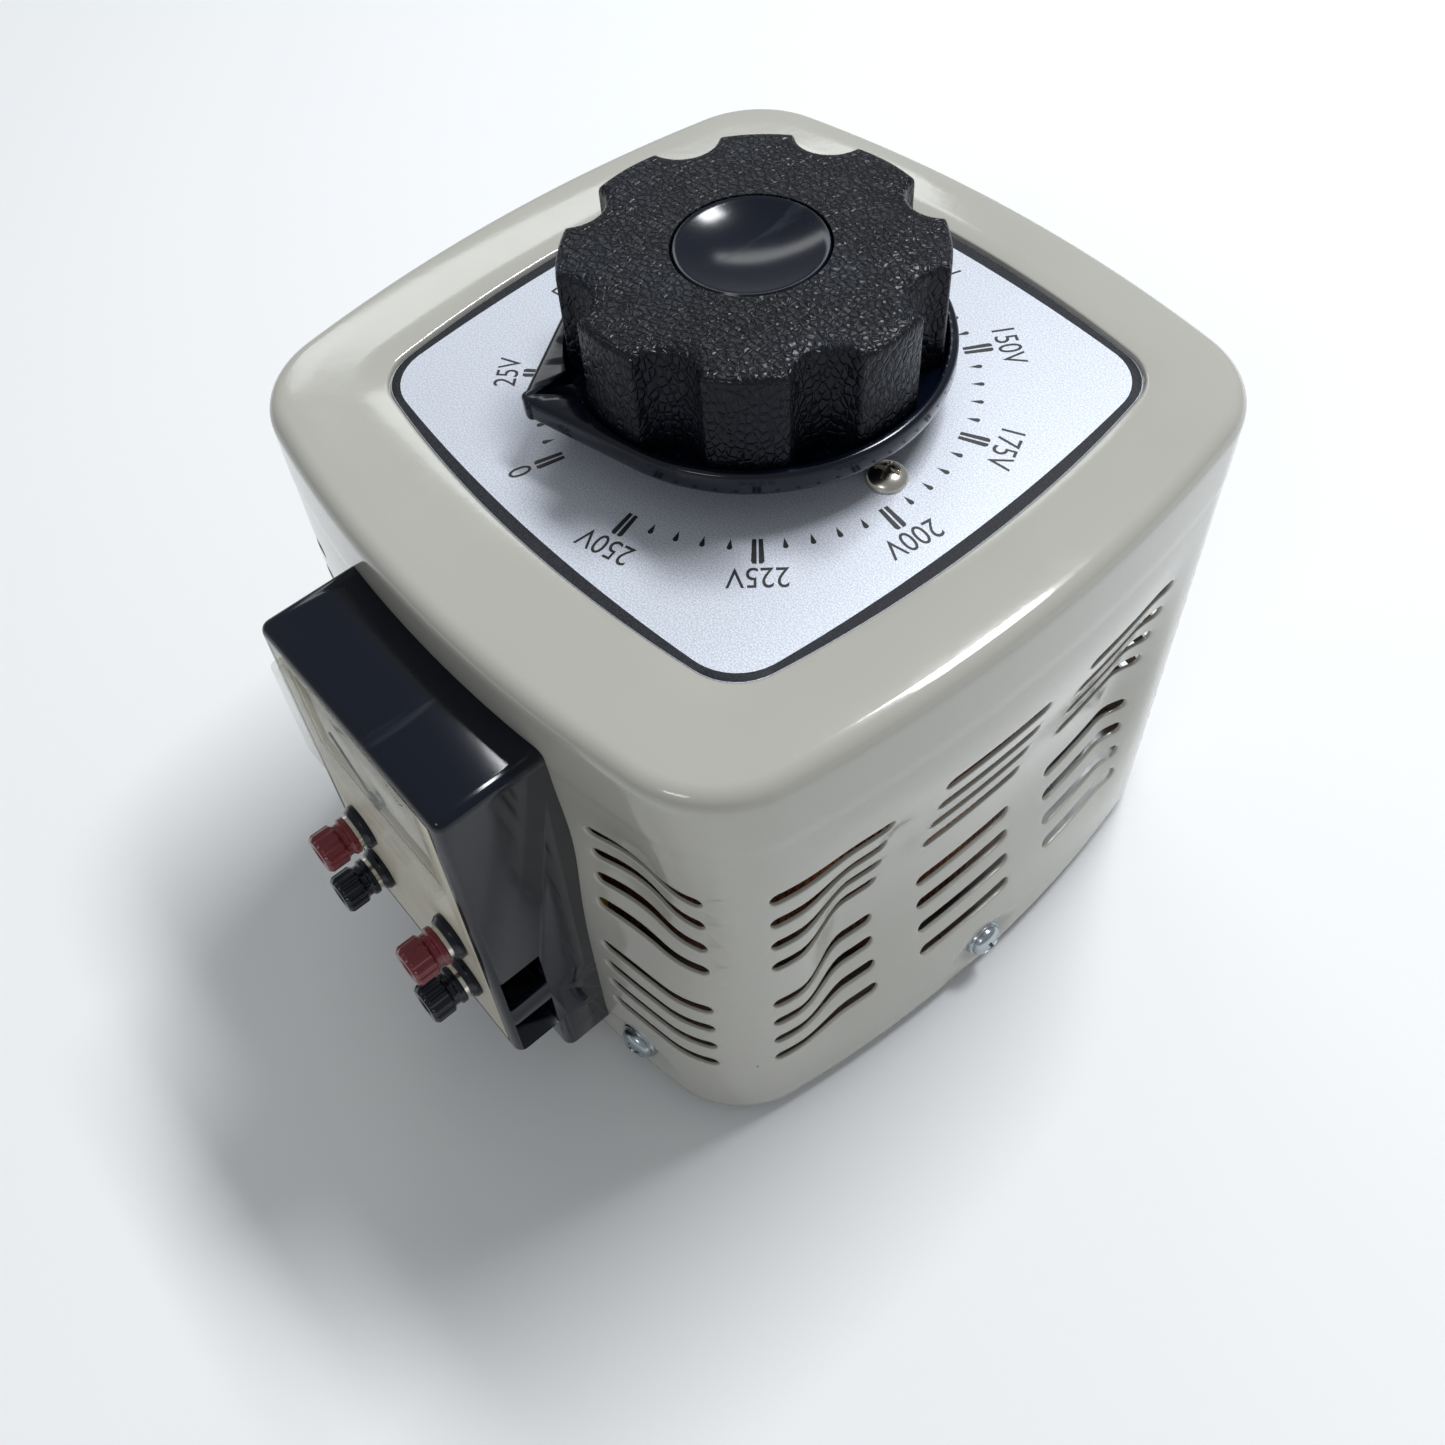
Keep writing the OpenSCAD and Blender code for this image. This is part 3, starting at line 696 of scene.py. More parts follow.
def closeWindow(piece):
    # joins the outer and inner skins round the opening behind the terminal box
    work = bmesh.new()
    work.from_mesh(piece.data)
    bmesh.ops.remove_doubles(work, verts=work.verts, dist=4e-6)
    edges = [edge for edge in work.edges if edge.is_boundary]
    bmesh.ops.bridge_loops(work, edges=edges)
    bmesh.ops.recalc_face_normals(work, faces=work.faces)
    print("cover edges left open:", sum(edge.is_boundary for edge in work.edges))
    work.to_mesh(piece.data)
    work.free()
    piece.data.shade_smooth()
    piece.data.set_sharp_from_angle(angle=math.radians(50))


coverSheet = buildCover()
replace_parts(coverSheet, "cover")
print("cover built")


screwLook = dict(
    radius=4.7, height=2.9, edge=0.15,                # millimetres, the edge as a share of the height
    slotWide=0.22, slotLong=1.15, slotDeep=0.55,      # shares of the radius and the height
    turn=0.4, washerWide=1.15, washer=1.5,
    dialRadius=41.6, dialAngles=(-1, 119, 239), sidePlaces=((0, 0), (1, 0), (2, 0), (3, 52), (3, -52)),
)


def crossScrew(name, radius, height, place, look, washer=0.0):
    # a domed head with a cross recess over a washer, its axis along the place's own Z
    rim = radius * screwLook["washerWide"] if washer else radius * 0.5
    bottom = -washer - height * 0.2
    edge = screwLook["edge"]
    profile = [(0, bottom, 0), (rim, bottom, 0), (rim, 0, 0), (radius, 0, 0), (radius, height * edge, 0)]
    for step in range(1, 11):
        angle = math.pi / 2 * step / 10
        r = radius * math.cos(angle) if step < 10 else 0
        profile.append((r, height * (edge + (1 - edge) * math.sin(angle)), 0))
    piece = lathe(name, profile, look, steps=48, place=place)
    wide, long = radius * screwLook["slotWide"], radius * screwLook["slotLong"] / 2
    deep = height * screwLook["slotDeep"]
    cutters = []
    for turn in (screwLook["turn"], screwLook["turn"] + math.pi / 2):
        spin = place @ Matrix.Rotation(turn, 4, "Z")
        cutters.append(block((-long, -wide / 2, height - deep), (long, wide / 2, height + 1 * mm), spin))
    carve(piece, cutters)
    return soften(piece, radius * 0.03, 2, 50)


def facing(place, out):
    # a matrix at a place whose Z points along a direction
    turn = Vector(out).to_track_quat("Z", "Y").to_matrix().to_4x4()
    return Matrix.Translation(place) @ turn


def joined(name, pieces, node):
    # makes one object of several, standing for one node
    with bpy.context.temp_override(active_object=pieces[0], object=pieces[0], selected_objects=pieces,
                                   selected_editable_objects=pieces):
        bpy.ops.object.join()
    pieces[0].name = name
    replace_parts(pieces[0], node)
    return pieces[0]


sideScrews = []
headRadius, headHeight = screwLook["radius"] * mm, screwLook["height"] * mm
for face, along in screwLook["sidePlaces"]:
    u = face * perimeter / 4 + along
    seat = wallPoint(u, cover["screwLevel"])
    _, out, _ = pillow(coverHalf, cover["bow"], cover["corner"], (u / perimeter) % 1)
    lift = screwLook["washer"] * mm
    place = facing(seat + Vector((*out, 0)) * lift, (*out, 0))
    sideScrews.append(crossScrew("sideScrew", headRadius, headHeight, place, "zinc", lift))
joined("sideScrews", sideScrews, "cover_screws")

dialScrews = []
for degrees in screwLook["dialAngles"]:
    angle = math.radians(degrees)
    reach = screwLook["dialRadius"] * mm
    seat = Vector((reach * math.cos(angle), reach * math.sin(angle), dialLevel + 0.02 * mm))
    dialScrews.append(crossScrew("dialScrew", headRadius, headHeight, Matrix.Translation(seat), "nickel"))
joined("dialScrews", dialScrews, "dial_screws")
print("screws built")


dial = dict(
    edgeBow=7.8, faceHalf=65.2, faceBow=5.1, corner=13, hub=20, edgeSteps=240,
    firstAngle=255, stepAngle=-33, steps=10, voltsPerStep=25,
    tickRadius=50.87, tickLength=6.6, barWide=1.15, barGap=0.45,
    dropRadius=49.3, dropLength=3.0, dropWide=1.15, dropEnd=0.58,
    letterRadius=57.6, letterSize=7.6, letterSqueeze=0.82, inkHeight=0.03,
)


def buildPlate():
    low, high, middle = ringBox("dial_plate")
    half = (high.x - low.x) / 2 / mm
    count = dial["edgeSteps"]
    centre = middle.xy / mm

    def ring(size, bow, z):
        return [Vector((*(pillow(size, bow, dial["corner"], i / count, centre)[0] * mm), z))
                for i in range(count)]

    edge = dial["edgeBow"]
    face = ring(dial["faceHalf"], dial["faceBow"], high.z)
    hub = latheRings([(dial["hub"] * mm, high.z)], count)[0]
    rings = [ring(half, edge, low.z), ring(half, edge, high.z - 0.1 * mm)]
    rings += [ring(half - 0.12, edge, high.z), face]
    rings += [[a.lerp(b, share) for a, b in zip(face, hub)] for share in (0.25, 0.6, 1)]
    points, faces = loft(rings, True, True)
    piece = makePiece("dialFace", points, faces, "plate")
    piece.data.materials.append(looks["plateEdge"])
    borderRing = 2                                    # the strip between the edge and the silver face
    for polygon in piece.data.polygons:
        polygon.material_index = 1 if polygon.index // count == borderRing else 0
    return piece


def inkPiece(name, outlines):
    # thin printed shapes, each outline a list of flat points in millimetres
    points, faces = [], []
    top = dialLevel + dial["inkHeight"] * mm
    for outline in outlines:
        start = len(points)
        count = len(outline)
        points += [Vector((x * mm, y * mm, top)) for x, y in outline]
        points += [Vector((x * mm, y * mm, dialLevel + 0.003 * mm)) for x, y in outline]
        faces.append(tuple(start + i for i in range(count)))
        faces.append(tuple(start + count + i for i in reversed(range(count))))
        for i in range(count):
            j = (i + 1) % count
            faces.append((start + i, start + count + i, start + count + j, start + j))
    return makePiece(name, points, faces, "ink")


def turned(shape, radius, degrees):
    # shape points are (along the radius outward, across), in millimetres
    angle = math.radians(degrees)
    c, s = math.cos(angle), math.sin(angle)
    return [((radius + a) * c - b * s, (radius + a) * s + b * c) for a, b in shape]


def buildMarks():
    outlines = []
    half = dial["tickLength"] / 2
    inner, outer = dial["barGap"] / 2, dial["barGap"] / 2 + dial["barWide"]
    bar = [(-half, inner), (half, inner), (half, outer - 0.35), (half - 0.6, outer), (-half, outer - 0.25)]
    long, wide = dial["dropLength"], dial["dropWide"] / 2
    drop = [(-long * 0.55, 0)]                        # the point, then the round end
    for step in range(13):
        angle = math.radians(-105 + 210 * step / 12)
        drop.append((long * 0.24 + dial["dropEnd"] * math.cos(angle), wide * math.sin(angle)))
    for major in range(dial["steps"] + 1):
        degrees = dial["firstAngle"] + major * dial["stepAngle"]
        for side in (1, -1):
            outlines.append(turned([(a, b * side) for a, b in bar], dial["tickRadius"], degrees))
        if major < dial["steps"]:
            for minor in range(1, 5):
                outlines.append(turned(drop, dial["dropRadius"], degrees + dial["stepAngle"] * minor / 5))
    return inkPiece("dialMarks", outlines)


def buildNumbers():
    letters = []
    for major in range(dial["steps"] + 1):
        volts = major * dial["voltsPerStep"]
        curve = bpy.data.curves.new("letters", "FONT")
        curve.body = f"{volts}V" if volts else "0"
        curve.size = dial["letterSize"] * mm
        curve.align_x = "CENTER"
        curve.align_y = "CENTER"
        curve.extrude = dial["inkHeight"] / 2 * mm
        curve.resolution_u = 6
        letter = bpy.data.objects.new("letters", curve)
        bpy.context.scene.collection.objects.link(letter)
        angle = math.radians(dial["firstAngle"] + major * dial["stepAngle"])
        reach = dial["letterRadius"]
        place = Vector((reach * math.cos(angle), reach * math.sin(angle), 0)) * mm
        place.z = dialLevel + dial["inkHeight"] / 2 * mm + 0.003 * mm
        letter.matrix_world = (Matrix.Translation(place) @ Matrix.Rotation(angle - math.pi / 2, 4, "Z")
                               @ Matrix.Diagonal((dial["letterSqueeze"], 1, 1, 1)))
        bpy.context.view_layer.update()
        graph = bpy.context.evaluated_depsgraph_get()
        mesh = bpy.data.meshes.new_from_object(letter.evaluated_get(graph))
        mesh.transform(letter.matrix_world)
        bpy.data.objects.remove(letter)
        letters.append(mesh)
    points, faces = [], []
    for mesh in letters:
        start = len(points)
        points += [vertex.co.copy() for vertex in mesh.vertices]
        faces += [tuple(start + v for v in polygon.vertices) for polygon in mesh.polygons]
    return makePiece("dialNumbers", points, faces, "ink")


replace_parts(buildPlate(), "dial_plate")
buildMarks()
buildNumbers()
print("dial built")


knob = dict(lobes=8, radius=41, scallop=8.3, valley=35.5, blendAt=0.55, crown=0.7, edge=1.6,
            dish=16.7, dishDepth=2.6, pointerAngle=248.4)
skirt = dict(radius=44, tip=53, tipHalf=2.2, tipRound=1.2, tangent=53.6, gap=8.7, rimRound=1.1,
             wedgeTip=50.2, wedgeMouth=40.8, wedgeHalf=4.6, wedgeDeep=4.2)
knobLow, knobHigh, _ = ringBox("knob")
skirtLow, skirtHigh, _ = ringBox("pointer_skirt")


def knobRadius(angle, inset=0.0):
    # angle is measured from the pointer, which faces a valley
    pitch = 2 * math.pi / knob["lobes"]
    away = abs((angle + pitch / 2) % pitch - pitch / 2)
    scallop = knob["scallop"] + inset
    centre = knob["valley"] + knob["scallop"]
    plain = knob["radius"] - inset
    side = scallop ** 2 - (centre * math.sin(away)) ** 2
    if side <= 0:
        return plain
    cut = centre * math.cos(away) - math.sqrt(side)
    soft = knob["blendAt"]
    gap = max(soft - abs(cut - plain), 0) / soft
    return min(cut, plain) - gap * gap * soft / 4


def knobAngles():
    # steps crowd together where a lobe turns into a valley
    pitch = 2 * math.pi / knob["lobes"]
    corner = math.asin(knob["scallop"] / (knob["valley"] + knob["scallop"])) * 0.93
    half = [corner * k / 12 for k in range(12)]
    half += [corner + (pitch / 2 - corner) * (k / 14) ** 1.3 for k in range(15)]
    cell = [-a for a in reversed(half[1:])] + half[:-1]
    return [cell[i] + lobe * pitch for lobe in range(knob["lobes"]) for i in range(len(cell))]


def buildKnob():
    turn = math.radians(knob["pointerAngle"])
    angles = knobAngles()
    top, bottom = knobHigh.z / mm, knobLow.z / mm
    hub = knob["dish"] + 0.35

    def ring(inset, z):
        points = []
        for angle in angles:
            r = knobRadius(angle, inset)
            points.append(Vector((r * math.cos(angle + turn), r * math.sin(angle + turn), z)) * mm)
        return points

    def crowned(points, share):
        result = []
        for p, angle in zip(points, angles):
            r = p.xy.length / mm
            r = hub + (r - hub) * share
            z = top - knob["crown"] * (r / knob["radius"]) ** 2
            result.append(Vector((r * math.cos(angle + turn), r * math.sin(angle + turn), z)) * mm)
        return result

    edge = knob["edge"]
    shoulder = top - knob["crown"] - edge
    rings = [ring(0.8, bottom), ring(0.25, bottom + 0.2), ring(0, bottom + 0.8)]
    rings += [ring(0, bottom + (shoulder - bottom) * k / 6) for k in range(1, 6)]
    for step in range(7):
        angle = math.pi / 2 * step / 6
        rings.append(ring(edge * (1 - math.cos(angle)), shoulder + edge * math.sin(angle)))
    last = ring(edge + 0.4, 0)
    rings += [crowned(last, share) for share in (1, 0.8, 0.55, 0.3, 0.12)]

    def circle(r, z):
        return [Vector((r * math.cos(a + turn), r * math.sin(a + turn), z)) * mm for a in angles]

    rings += [circle(hub, top - 0.12), circle(hub - 0.12, top - 0.35), circle(hub - 0.15, top - 3.6)]
    points, faces = loft(rings, True, True)
    piece = makePiece("knobBody", points, faces, "grained_plastic", "rotor", crease=60)
    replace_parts(piece, "knob")
    return piece


def buildDish():
    low, high, middle = ringBox("knob_cap")
    r = knob["dish"] * mm
    depth = knob["dishDepth"] * mm
    rim = [(0.5, 3.6), (0.1, 3.4), (0.1, 0.55), (0.45, 0.14), (0.95, 0.16)]  # inward, then down from the top
    profile = [(r - inward * mm, high.z - down * mm, 0) for inward, down in rim]
    lipR, lipZ = profile[-1][:2]
    for step in range(1, 21):
        share = 1 - step / 20
        profile.append((lipR * share, lipZ - depth * (1 - share ** 2.2), 0))
    piece = lathe("knobDish", profile, "black_plastic", "rotor", steps=96)
    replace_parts(piece, "knob_cap")


def skirtOutline(grow):
    # a circle with a tapered pointer, its tip cut square with round corners, from the pointer round
    radius, tip, tipHalf = skirt["radius"] + grow, skirt["tip"] + grow, skirt["tipHalf"] + grow * 0.6
    touch = math.acos(skirt["radius"] / skirt["tangent"])
    bend = skirt["tipRound"]
    corners = []
    for step in range(7):
        angle = math.pi / 2 * step / 6
        corners.append((tip - bend + bend * math.cos(angle), tipHalf - bend + bend * math.sin(angle)))
    start = (radius * math.cos(touch), radius * math.sin(touch))
    lastX, lastY = corners[-1]
    sideSteps = 14
    upper = [(tip, (tipHalf - bend) * k / 3) for k in range(3)] + corners
    upper += [(lastX + (start[0] - lastX) * k / sideSteps, lastY + (start[1] - lastY) * k / sideSteps)
              for k in range(1, sideSteps)]
    bodySteps = 150
    for k in range(bodySteps + 1):
        angle = touch + (math.pi - touch) * k / bodySteps
        upper.append((radius * math.cos(angle), radius * math.sin(angle)))
    lower = [(x, -y) for x, y in reversed(upper[1:-1])]
    turn = Matrix.Rotation(math.radians(knob["pointerAngle"]), 2)
    return [turn @ Vector(p) for p in upper + lower]


def buildSkirt():
    floor = dialLevel / mm
    top, bottom = skirtHigh.z / mm, floor + skirt["gap"]
    tray = knobLow.z / mm
    bend = skirt["rimRound"]

    def ring(grow, z):
        return [Vector((*(p * mm), z * mm)) for p in skirtOutline(grow)]

    underside = [(-2.2, 0), (-0.9, 0.15), (-0.25, 0.7), (0, 1.6)]
    rings = [ring(grow, bottom + up) for grow, up in underside] + [ring(0, top - bend)]
    for step in range(1, 6):
        angle = math.pi / 2 * step / 5
        rings.append(ring(-bend * (1 - math.cos(angle)), top - bend + bend * math.sin(angle)))

    def circle(r, z):
        points = []
        for p in skirtOutline(0):
            angle = math.atan2(p.y, p.x)
            points.append(Vector((r * math.cos(angle), r * math.sin(angle), z)) * mm)
        return points

    rings += [circle(42.2, top), circle(41.9, top - 0.25), circle(41.7, top - 0.9), circle(41.5, tray + 0.9)]
    rings += [circle(41.1, tray + 0.25), circle(40.4, tray), circle(5.2, tray), circle(5.2, floor + 2.2)]
    rings += [circle(13, floor + 2.2), circle(13, bottom)]
    points, faces = loft(rings + [rings[0]])
    piece = makePiece("pointerSkirt", points, faces, "black_plastic", "rotor", crease=50)
    turn = Matrix.Rotation(math.radians(knob["pointerAngle"]), 4, "Z")
    apex, mouth = skirt["wedgeTip"], skirt["wedgeMouth"]
    half, deep = skirt["wedgeHalf"], skirt["wedgeDeep"]
    wedge = [(apex, 0, top + 0.02), (mouth, half, top + 0.02), (mouth, -half, top + 0.02),
             (mouth, half * 0.96, top - deep), (mouth, -half * 0.96, top - deep)]
    wedge += [(x, y, z + 2) for x, y, z in wedge[:3]]
    corners = [turn @ (Vector(p) * mm) for p in wedge]
    sides = [(0, 4, 3), (0, 1, 6, 5), (0, 3, 1), (0, 2, 4), (0, 5, 7, 2)]
    sides += [(1, 3, 4, 2), (1, 2, 7, 6), (5, 6, 7)]
    mesh = bpy.data.meshes.new("wedge")
    mesh.from_pydata(corners, [], sides)
    cutter = bpy.data.objects.new("wedge", mesh)
    bpy.context.scene.collection.objects.link(cutter)
    tidyMesh(mesh, 10)
    carve(piece, [cutter])
    soften(piece, 0.22 * mm, 2, 32)
    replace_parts(piece, "pointer_skirt")


buildKnob()
buildDish()
buildSkirt()
print("knob built")


boxLook = dict(
    round=2.6, wall=2.5, panelInset=4, recess=1.6,    # millimetres
    step=13, rise=17, back=-70,                       # the foot's set-back, its height, the open side
    windowFront=1.6, windowDeep=11, windowTall=15, windowRises=(2, 25),
)


def buildBox():
    low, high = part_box("terminal_box")
    front, back = low.y, boxLook["back"] * mm
    rear = front + boxLook["step"] * mm
    frontBottom = low.z + boxLook["rise"] * mm
    edge = boxLook["round"] * mm
    wall = boxLook["wall"] * mm
    piece = block((low.x, front, frontBottom), (high.x, back, high.z), round=edge, segments=6)
    step = block((low.x, rear, low.z), (high.x, back, frontBottom + 20 * mm), round=edge, segments=6)
    piece.name = "terminalHousing"
    carve(piece, [step], "UNION")
    inset = boxLook["panelInset"] * mm
    lip = inset + boxLook["recess"] * mm
    past = 9 * mm                                     # cutters run this far beyond the housing
    cutters = [
        block((low.x + wall, front + 4 * mm, frontBottom + wall),
              (high.x - wall, back + past, high.z - wall)),
        block((low.x + wall, rear + wall, low.z + wall), (high.x - wall, back + past, frontBottom + past)),
        block((low.x + inset, front - past, frontBottom + inset),
              (high.x - inset, front + 2.1 * mm, high.z - inset)),
        block((low.x + lip, front - past, frontBottom + lip), (high.x - lip, front + 8 * mm, high.z - lip)),
    ]
    windowLow = front + boxLook["windowFront"] * mm
    windowHigh = windowLow + boxLook["windowDeep"] * mm
    for x in (low.x, high.x):
        for rise in boxLook["windowRises"]:
            z = frontBottom + rise * mm
            cutters.append(block((x - 8 * mm, windowLow, z),
                                 (x + 8 * mm, windowHigh, z + boxLook["windowTall"] * mm)))
    carve(piece, cutters)
    carve(piece, [caseBlank()])
    soften(piece, 0.35 * mm, 2, 38)
    piece.data.materials.clear()
    piece.data.materials.append(looks["black_plastic"])
    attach(piece, "case")
    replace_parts(piece, "terminal_box")


def caseBlank():
    # the cover's outer form as a plain solid, a hair larger, for fitting things against it
    count = 280
    levels = spans(coverLow.z, coverHigh.z, 2.4)
    rings = [[wallPoint(perimeter * i / count, z, -0.05) for i in range(count)] for z in levels]
    points, faces = loft(rings, True, True)
    mesh = bpy.data.meshes.new("blank")
    mesh.from_pydata(points, [], faces)
    blank = bpy.data.objects.new("blank", mesh)
    bpy.context.scene.collection.objects.link(blank)
    tidyMesh(mesh, 30)
    return blank


def buildPanel():
    low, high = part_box("terminal_panel")
    meterLow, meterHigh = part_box("meter_body")
    piece = block(tuple(low), tuple(high), round=0.3 * mm, segments=2)
    piece.name = "terminalPanel"
    gap = 0.2 * mm
    carve(piece, [block((meterLow.x - gap, low.y - 1 * mm, meterLow.z - gap),
                        (meterHigh.x + gap, high.y + 1 * mm, meterHigh.z + gap))])
    soften(piece, 0.15 * mm, 2, 40)
    piece.data.materials.clear()
    piece.data.materials.append(looks["ivory"])
    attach(piece, "case")
    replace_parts(piece, "terminal_panel")


def buildWindow():
    low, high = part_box("meter_window")
    piece = block(tuple(low), (high.x, high.y + 3 * mm, high.z), round=1.6 * mm, segments=5)
    piece.name = "meterWindow"
    wall = 1.2 * mm
    behind = block((low.x - 1 * mm, high.y, low.z - 1 * mm),
                   (high.x + 1 * mm, high.y + 9 * mm, high.z + 1 * mm))
    hollowed = block((low.x + wall, low.y + wall, low.z + wall),
                     (high.x - wall, high.y + 5 * mm, high.z - wall), round=0.8 * mm)
    carve(piece, [behind, hollowed])
    piece.data.materials.clear()
    piece.data.materials.append(looks["clear"])
    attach(piece, "case")
    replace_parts(piece, "meter_window")


def buildScale():
    # ticks of the meter card
    low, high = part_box("meter_face")
    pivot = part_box("meter_pivot")
    middle = Vector(((pivot[0].x + pivot[1].x) / 2, low.y, (pivot[0].z + pivot[1].z) / 2))
    points, faces = [], []
    for mark in range(31):
        angle = math.radians(135 - 90 * mark / 30)
        long = 3.4 if mark % 10 == 0 else 2.4 if mark % 5 == 0 else 1.5
        wide = 0.16 if mark % 5 == 0 else 0.09
        along = Vector((math.cos(angle), 0, math.sin(angle)))
        across = Vector((-along.z, 0, along.x)) * wide * mm
        start = len(points)
        for r in (17.6, 17.6 + long):
            for side in (-1, 1):
                points.append(middle + along * r * mm + across * side - Vector((0, 0.04 * mm, 0)))
        points += [p + Vector((0, 0.035 * mm, 0)) for p in points[start:start + 4]]
        faces += [(start, start + 1, start + 3, start + 2), (start + 4, start + 6, start + 7, start + 5),
                  (start, start + 2, start + 6, start + 4), (start + 1, start + 5, start + 7, start + 3),
                  (start, start + 4, start + 5, start + 1), (start + 2, start + 3, start + 7, start + 6)]
    makePiece("meterScale", points, faces, "ink")


buildBox()
buildPanel()
buildWindow()
buildScale()


post = dict(
    flutes=12, fluteDeep=0.45, bore=2.1,              # millimetres
    stud=2.0, root=1.72, threads=38, short=2.5,       # short keeps the studs inside the closed caps
    # shares of the cap's radius and length, and the fillet in millimetres
    outline=((0.86, 0, 0), (0.97, 0, 0.4), (0.97, 0.16, 0.3), (0.84, 0.22, 0.3), (0.84, 0.34, 0.3),
             (1, 0.42, 0.4), (1, 0.9, 0.5), (0.86, 1, 0.4)),
)


def buildCap(name, node, look, body):
    low, high, middle = ringBox(node)
    radius = (high.x - low.x) / 2
    long = high.y - low.y
    place = facing(Vector((middle.x, high.y, middle.z)), (0, -1, 0))
    outline = [(radius * wide, long * along, bend * mm) for wide, along, bend in post["outline"]]
    disc, inside = long - 0.5 * mm, long - 1.3 * mm   # the sunk disc that closes the end
    outline += [(2.6 * mm, long, 0.3 * mm), (2.3 * mm, disc, 0), (0, disc, 0)]
    outline += [(0, inside, 0), (post["bore"] * mm, inside, 0)]
    outline = rounded(outline, 3)
    steps = post["flutes"] * 10
    rings = []
    for r, z in outline:
        ring = []
        grip = smoothstep(long * 0.36, long * 0.46, z) * smoothstep(long * 1.0, long * 0.9, z)
        for i in range(steps):
            angle = 2 * math.pi * i / steps
            wave = max(0, -math.cos(angle * post["flutes"])) ** 0.7
            reach = r - post["fluteDeep"] * mm * wave * grip if r > radius * 0.8 else r
            ring.append(place @ Vector((reach * math.cos(angle), reach * math.sin(angle), z)))
        rings.append(ring)
    rings += latheRings([(post["bore"] * mm, 0)], steps, place)
    points, faces = loft(rings + [rings[0]])
    piece = makePiece(name, points, faces, look, body, crease=45)
    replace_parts(piece, node)


def buildStuds():
    # threaded studs, the thread a row of fine rings
    low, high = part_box("post_studs")
    pieces = []
    for node in ("red_left", "black_left", "red_right", "black_right"):
        _, _, middle = ringBox("cap_" + node)
        place = facing(Vector((middle.x, high.y, middle.z)), (0, -1, 0))
        long = high.y - low.y - post["short"] * mm    # ends inside the closed cap
        crests = [(0, 0, 0), (1.7 * mm, 0, 0)]
        turns = post["threads"]
        for k in range(turns):
            z = long * (0.01 + 0.96 * k / turns)
            crests += [(post["root"] * mm, z, 0), (post["stud"] * mm, z + long * 0.96 / turns / 2, 0)]
        crests += [(1.5 * mm, long, 0), (0, long, 0)]
        pieces.append(lathe("stud", crests, "brass", steps=28, place=place))
    joined("postStuds", pieces, "post_studs")


def buildCollars():
    low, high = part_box("post_collars")
    pieces = []
    for node in ("red_left", "black_left", "red_right", "black_right"):
        _, _, middle = ringBox("cap_" + node)
        place = facing(Vector((middle.x, high.y, middle.z)), (0, -1, 0))
        long = high.y - low.y
        bore = post["bore"] * mm
        profile = [(bore, 0, 0), (6 * mm, 0, 0.2 * mm), (6 * mm, long * 0.5, 0.3 * mm),
                   (5.2 * mm, long, 0.4 * mm), (bore, long, 0)]
        pieces.append(lathe("collar", profile, "black_plastic", steps=48, place=place, closed=True))
    joined("postCollars", pieces, "post_collars")


for side in ("left", "right"):
    buildCap("capRed" + side.title(), "cap_red_" + side, "red_plastic", "turner_red_" + side)
    buildCap("capBlack" + side.title(), "cap_black_" + side, "black_plastic", "turner_black_" + side)
buildStuds()
buildCollars()
print("terminals built")


coil = dict(turns=230, wave=0.35, bore=26.0, round=5, stepDips=(1, 0.3, 0, 0.3))


def buildCoil():
    low, high, _ = ringBox("winding")
    outer = (high.x - low.x) / 2 / mm
    bore, bottom, top = coil["bore"], low.z / mm, high.z / mm
    middleZ, bend = (bottom + top) / 2, coil["round"]
    profile = rounded([(bore, middleZ, 0), (bore, bottom, bend), (outer, bottom, bend), (outer, top, bend),
                       (bore, top, bend), (bore, middleZ + 0.01, 0)], 4)
    near = 3                                          # how close to a face counts as on it
    stepsPerTurn = len(coil["stepDips"])
    steps = coil["turns"] * stepsPerTurn
    rings = []
    for i in range(steps):
        angle = 2 * math.pi * i / steps
        dip = coil["wave"] * coil["stepDips"][i % stepsPerTurn]
        ring = []
        for r, z in profile:
            inward = (r < bore + near) - (r > outer - near)
            upward = (z < bottom + near) - (z > top - near)
            r += inward * dip
            z += upward * dip
            ring.append(Vector((r * math.cos(angle), r * math.sin(angle), z)) * mm)
        rings.append(ring)
    points, faces = loft(rings + [rings[0]])
    piece = makePiece("coilTurns", points, faces, "copper", crease=70)
    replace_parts(piece, "winding")


buildCoil()


slotOf = {part["node"]: part["material_slot"] for part in frame["record"]["subparts"]}
shownAs = dict(meter_body="ivory")                    # moulded pale behind its clear front
for node, piece in frame["nodes"].items():
    piece.data.materials.clear()
    piece.data.materials.append(looks[shownAs.get(node, slotOf[node])])
print("finishes given to the carried nodes")


stageLook = dict(floor=(0.9, 0.9, 0.895), sky=(0.91, 0.955, 1.0), skyStrength=0.33,
                 lampTint=(0.94, 0.97, 1.0))


def paintFloor(wire, put):
    cloud = noise(wire, 3, 4)
    put("Base Color", cloud.colours((0.89, 0.89, 0.885), stageLook["floor"]))
    put("Roughness", 0.75 + cloud * 0.1)


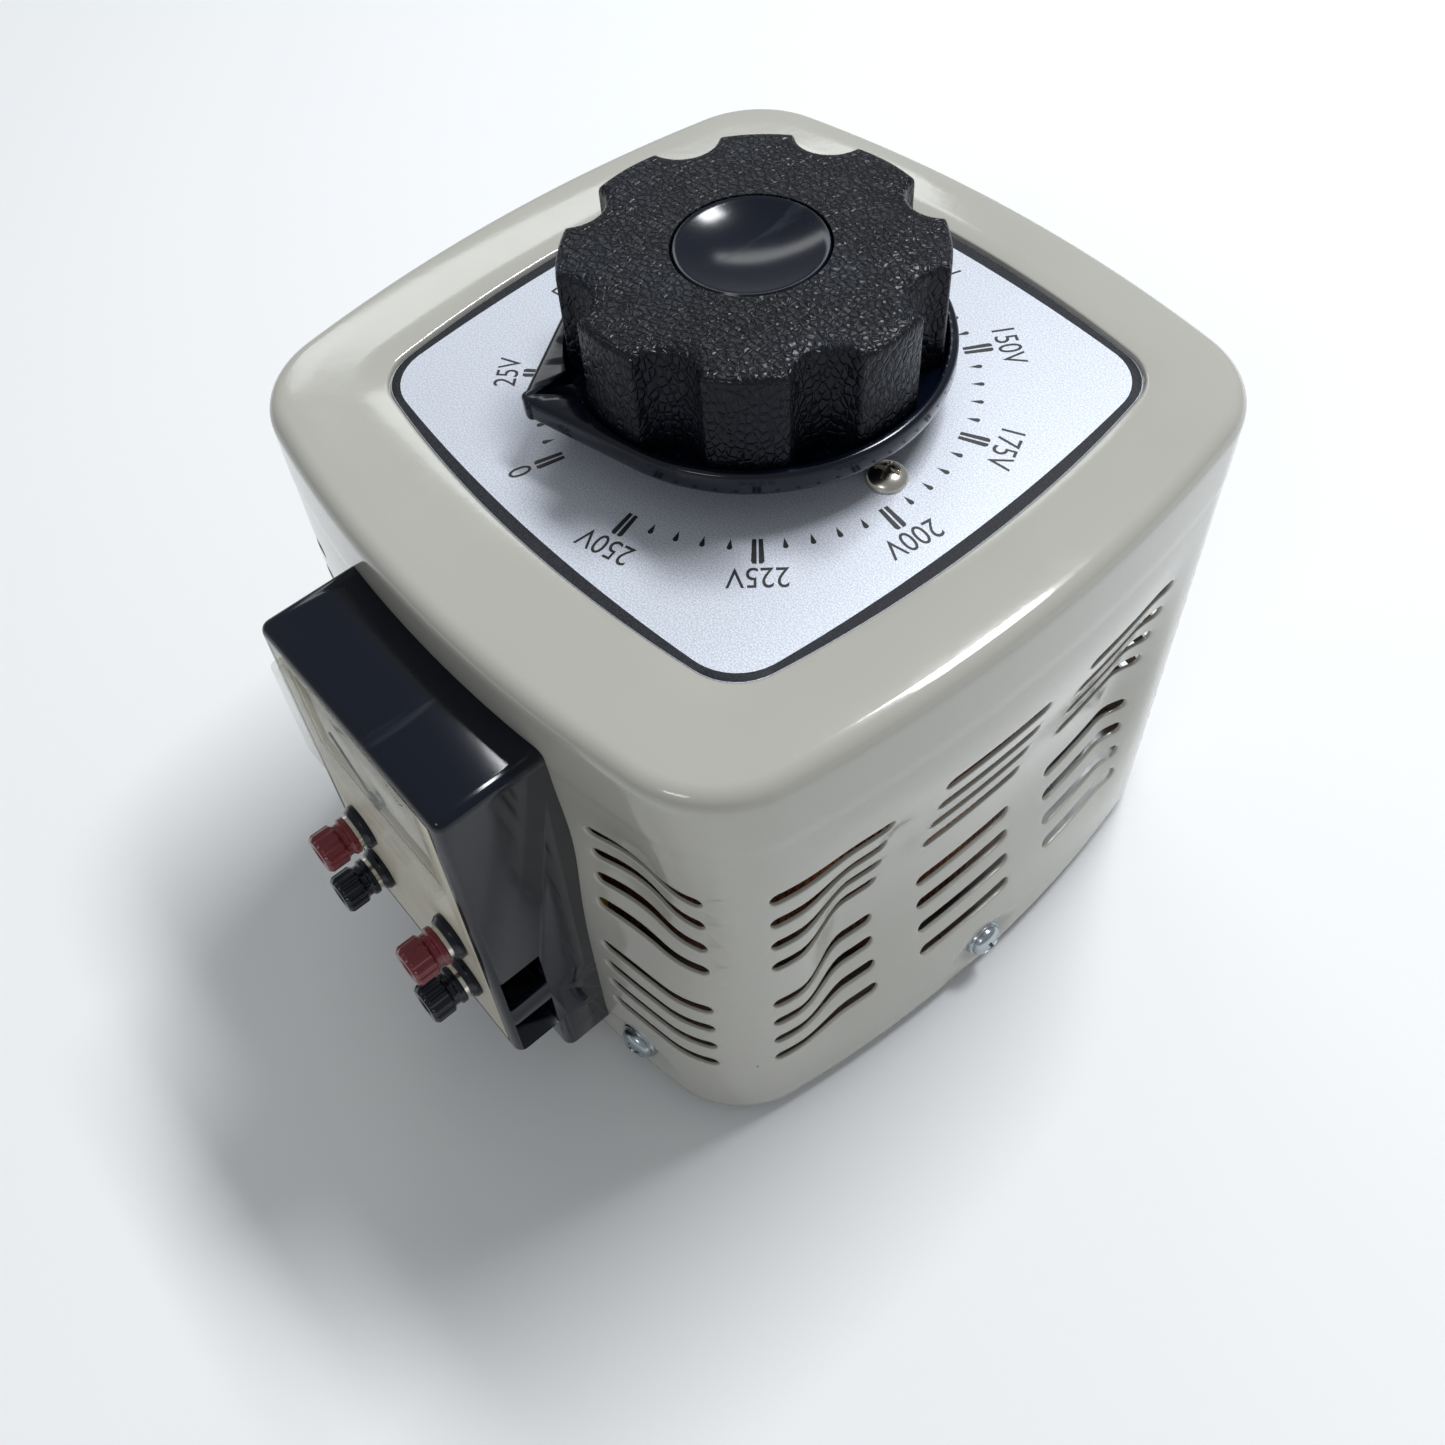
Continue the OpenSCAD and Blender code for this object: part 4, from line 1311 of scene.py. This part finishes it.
floorMesh = bpy.data.meshes.new("floor")
floorMesh.from_pydata([(-6, -6, 0), (6, -6, 0), (6, 6, 0), (-6, 6, 0)], [], [(0, 1, 2, 3)])
floorMesh.materials.append(finish("studioFloor", paintFloor))
floor = bpy.data.objects.new("studioFloor", floorMesh)
bpy.context.scene.collection.objects.link(floor)

world = bpy.data.worlds.new("studio")
bpy.context.scene.world = world
world.use_nodes = True
backdrop = world.node_tree.nodes["Background"]
backdrop.inputs["Color"].default_value = (*stageLook["sky"], 1)
backdrop.inputs["Strength"].default_value = stageLook["skyStrength"]

lamps = dict(
    behind=dict(place=(-1.55, 0.95, 1.5), target=(0, 0, 0.1), wide=1.3, tall=0.25, power=3.6),
    above=dict(place=(-0.02, 0.78, 1.6), target=(0, 0, 0.1), wide=0.7, tall=0.26, power=24.5),
    front=dict(place=(0.5, -1.5, 1.3), target=(0, 0, 0.1), wide=0.5, tall=0.3, power=3.2),
)
for name, lamp in lamps.items():
    light = bpy.data.lights.new(name, "AREA")
    light.shape = "RECTANGLE"
    light.size, light.size_y, light.energy = lamp["wide"], lamp["tall"], lamp["power"]
    light.color = stageLook["lampTint"]
    source = bpy.data.objects.new(name, light)
    bpy.context.scene.collection.objects.link(source)
    source.location = lamp["place"]
    aim = Vector(lamp["target"]) - Vector(lamp["place"])
    source.rotation_euler = aim.to_track_quat("-Z", "Y").to_euler()

view = dict(place=(0.18473, -0.16144, 0.38203), turn=(39.883, 5.467, 50.909), lens=36.236,
            shiftX=0.0698, shiftY=-0.1018)
camera = bpy.data.objects.new("camera", bpy.data.cameras.new("camera"))
bpy.context.scene.collection.objects.link(camera)
camera.location = view["place"]
camera.rotation_euler = [math.radians(angle) for angle in view["turn"]]
camera.data.sensor_width = 36
camera.data.lens = view["lens"]
camera.data.shift_x = view["shiftX"]
camera.data.shift_y = view["shiftY"]
camera.data.clip_start = 0.01
bpy.context.scene.camera = camera
bpy.context.scene.view_settings.view_transform = "Standard"

print("scene ready")
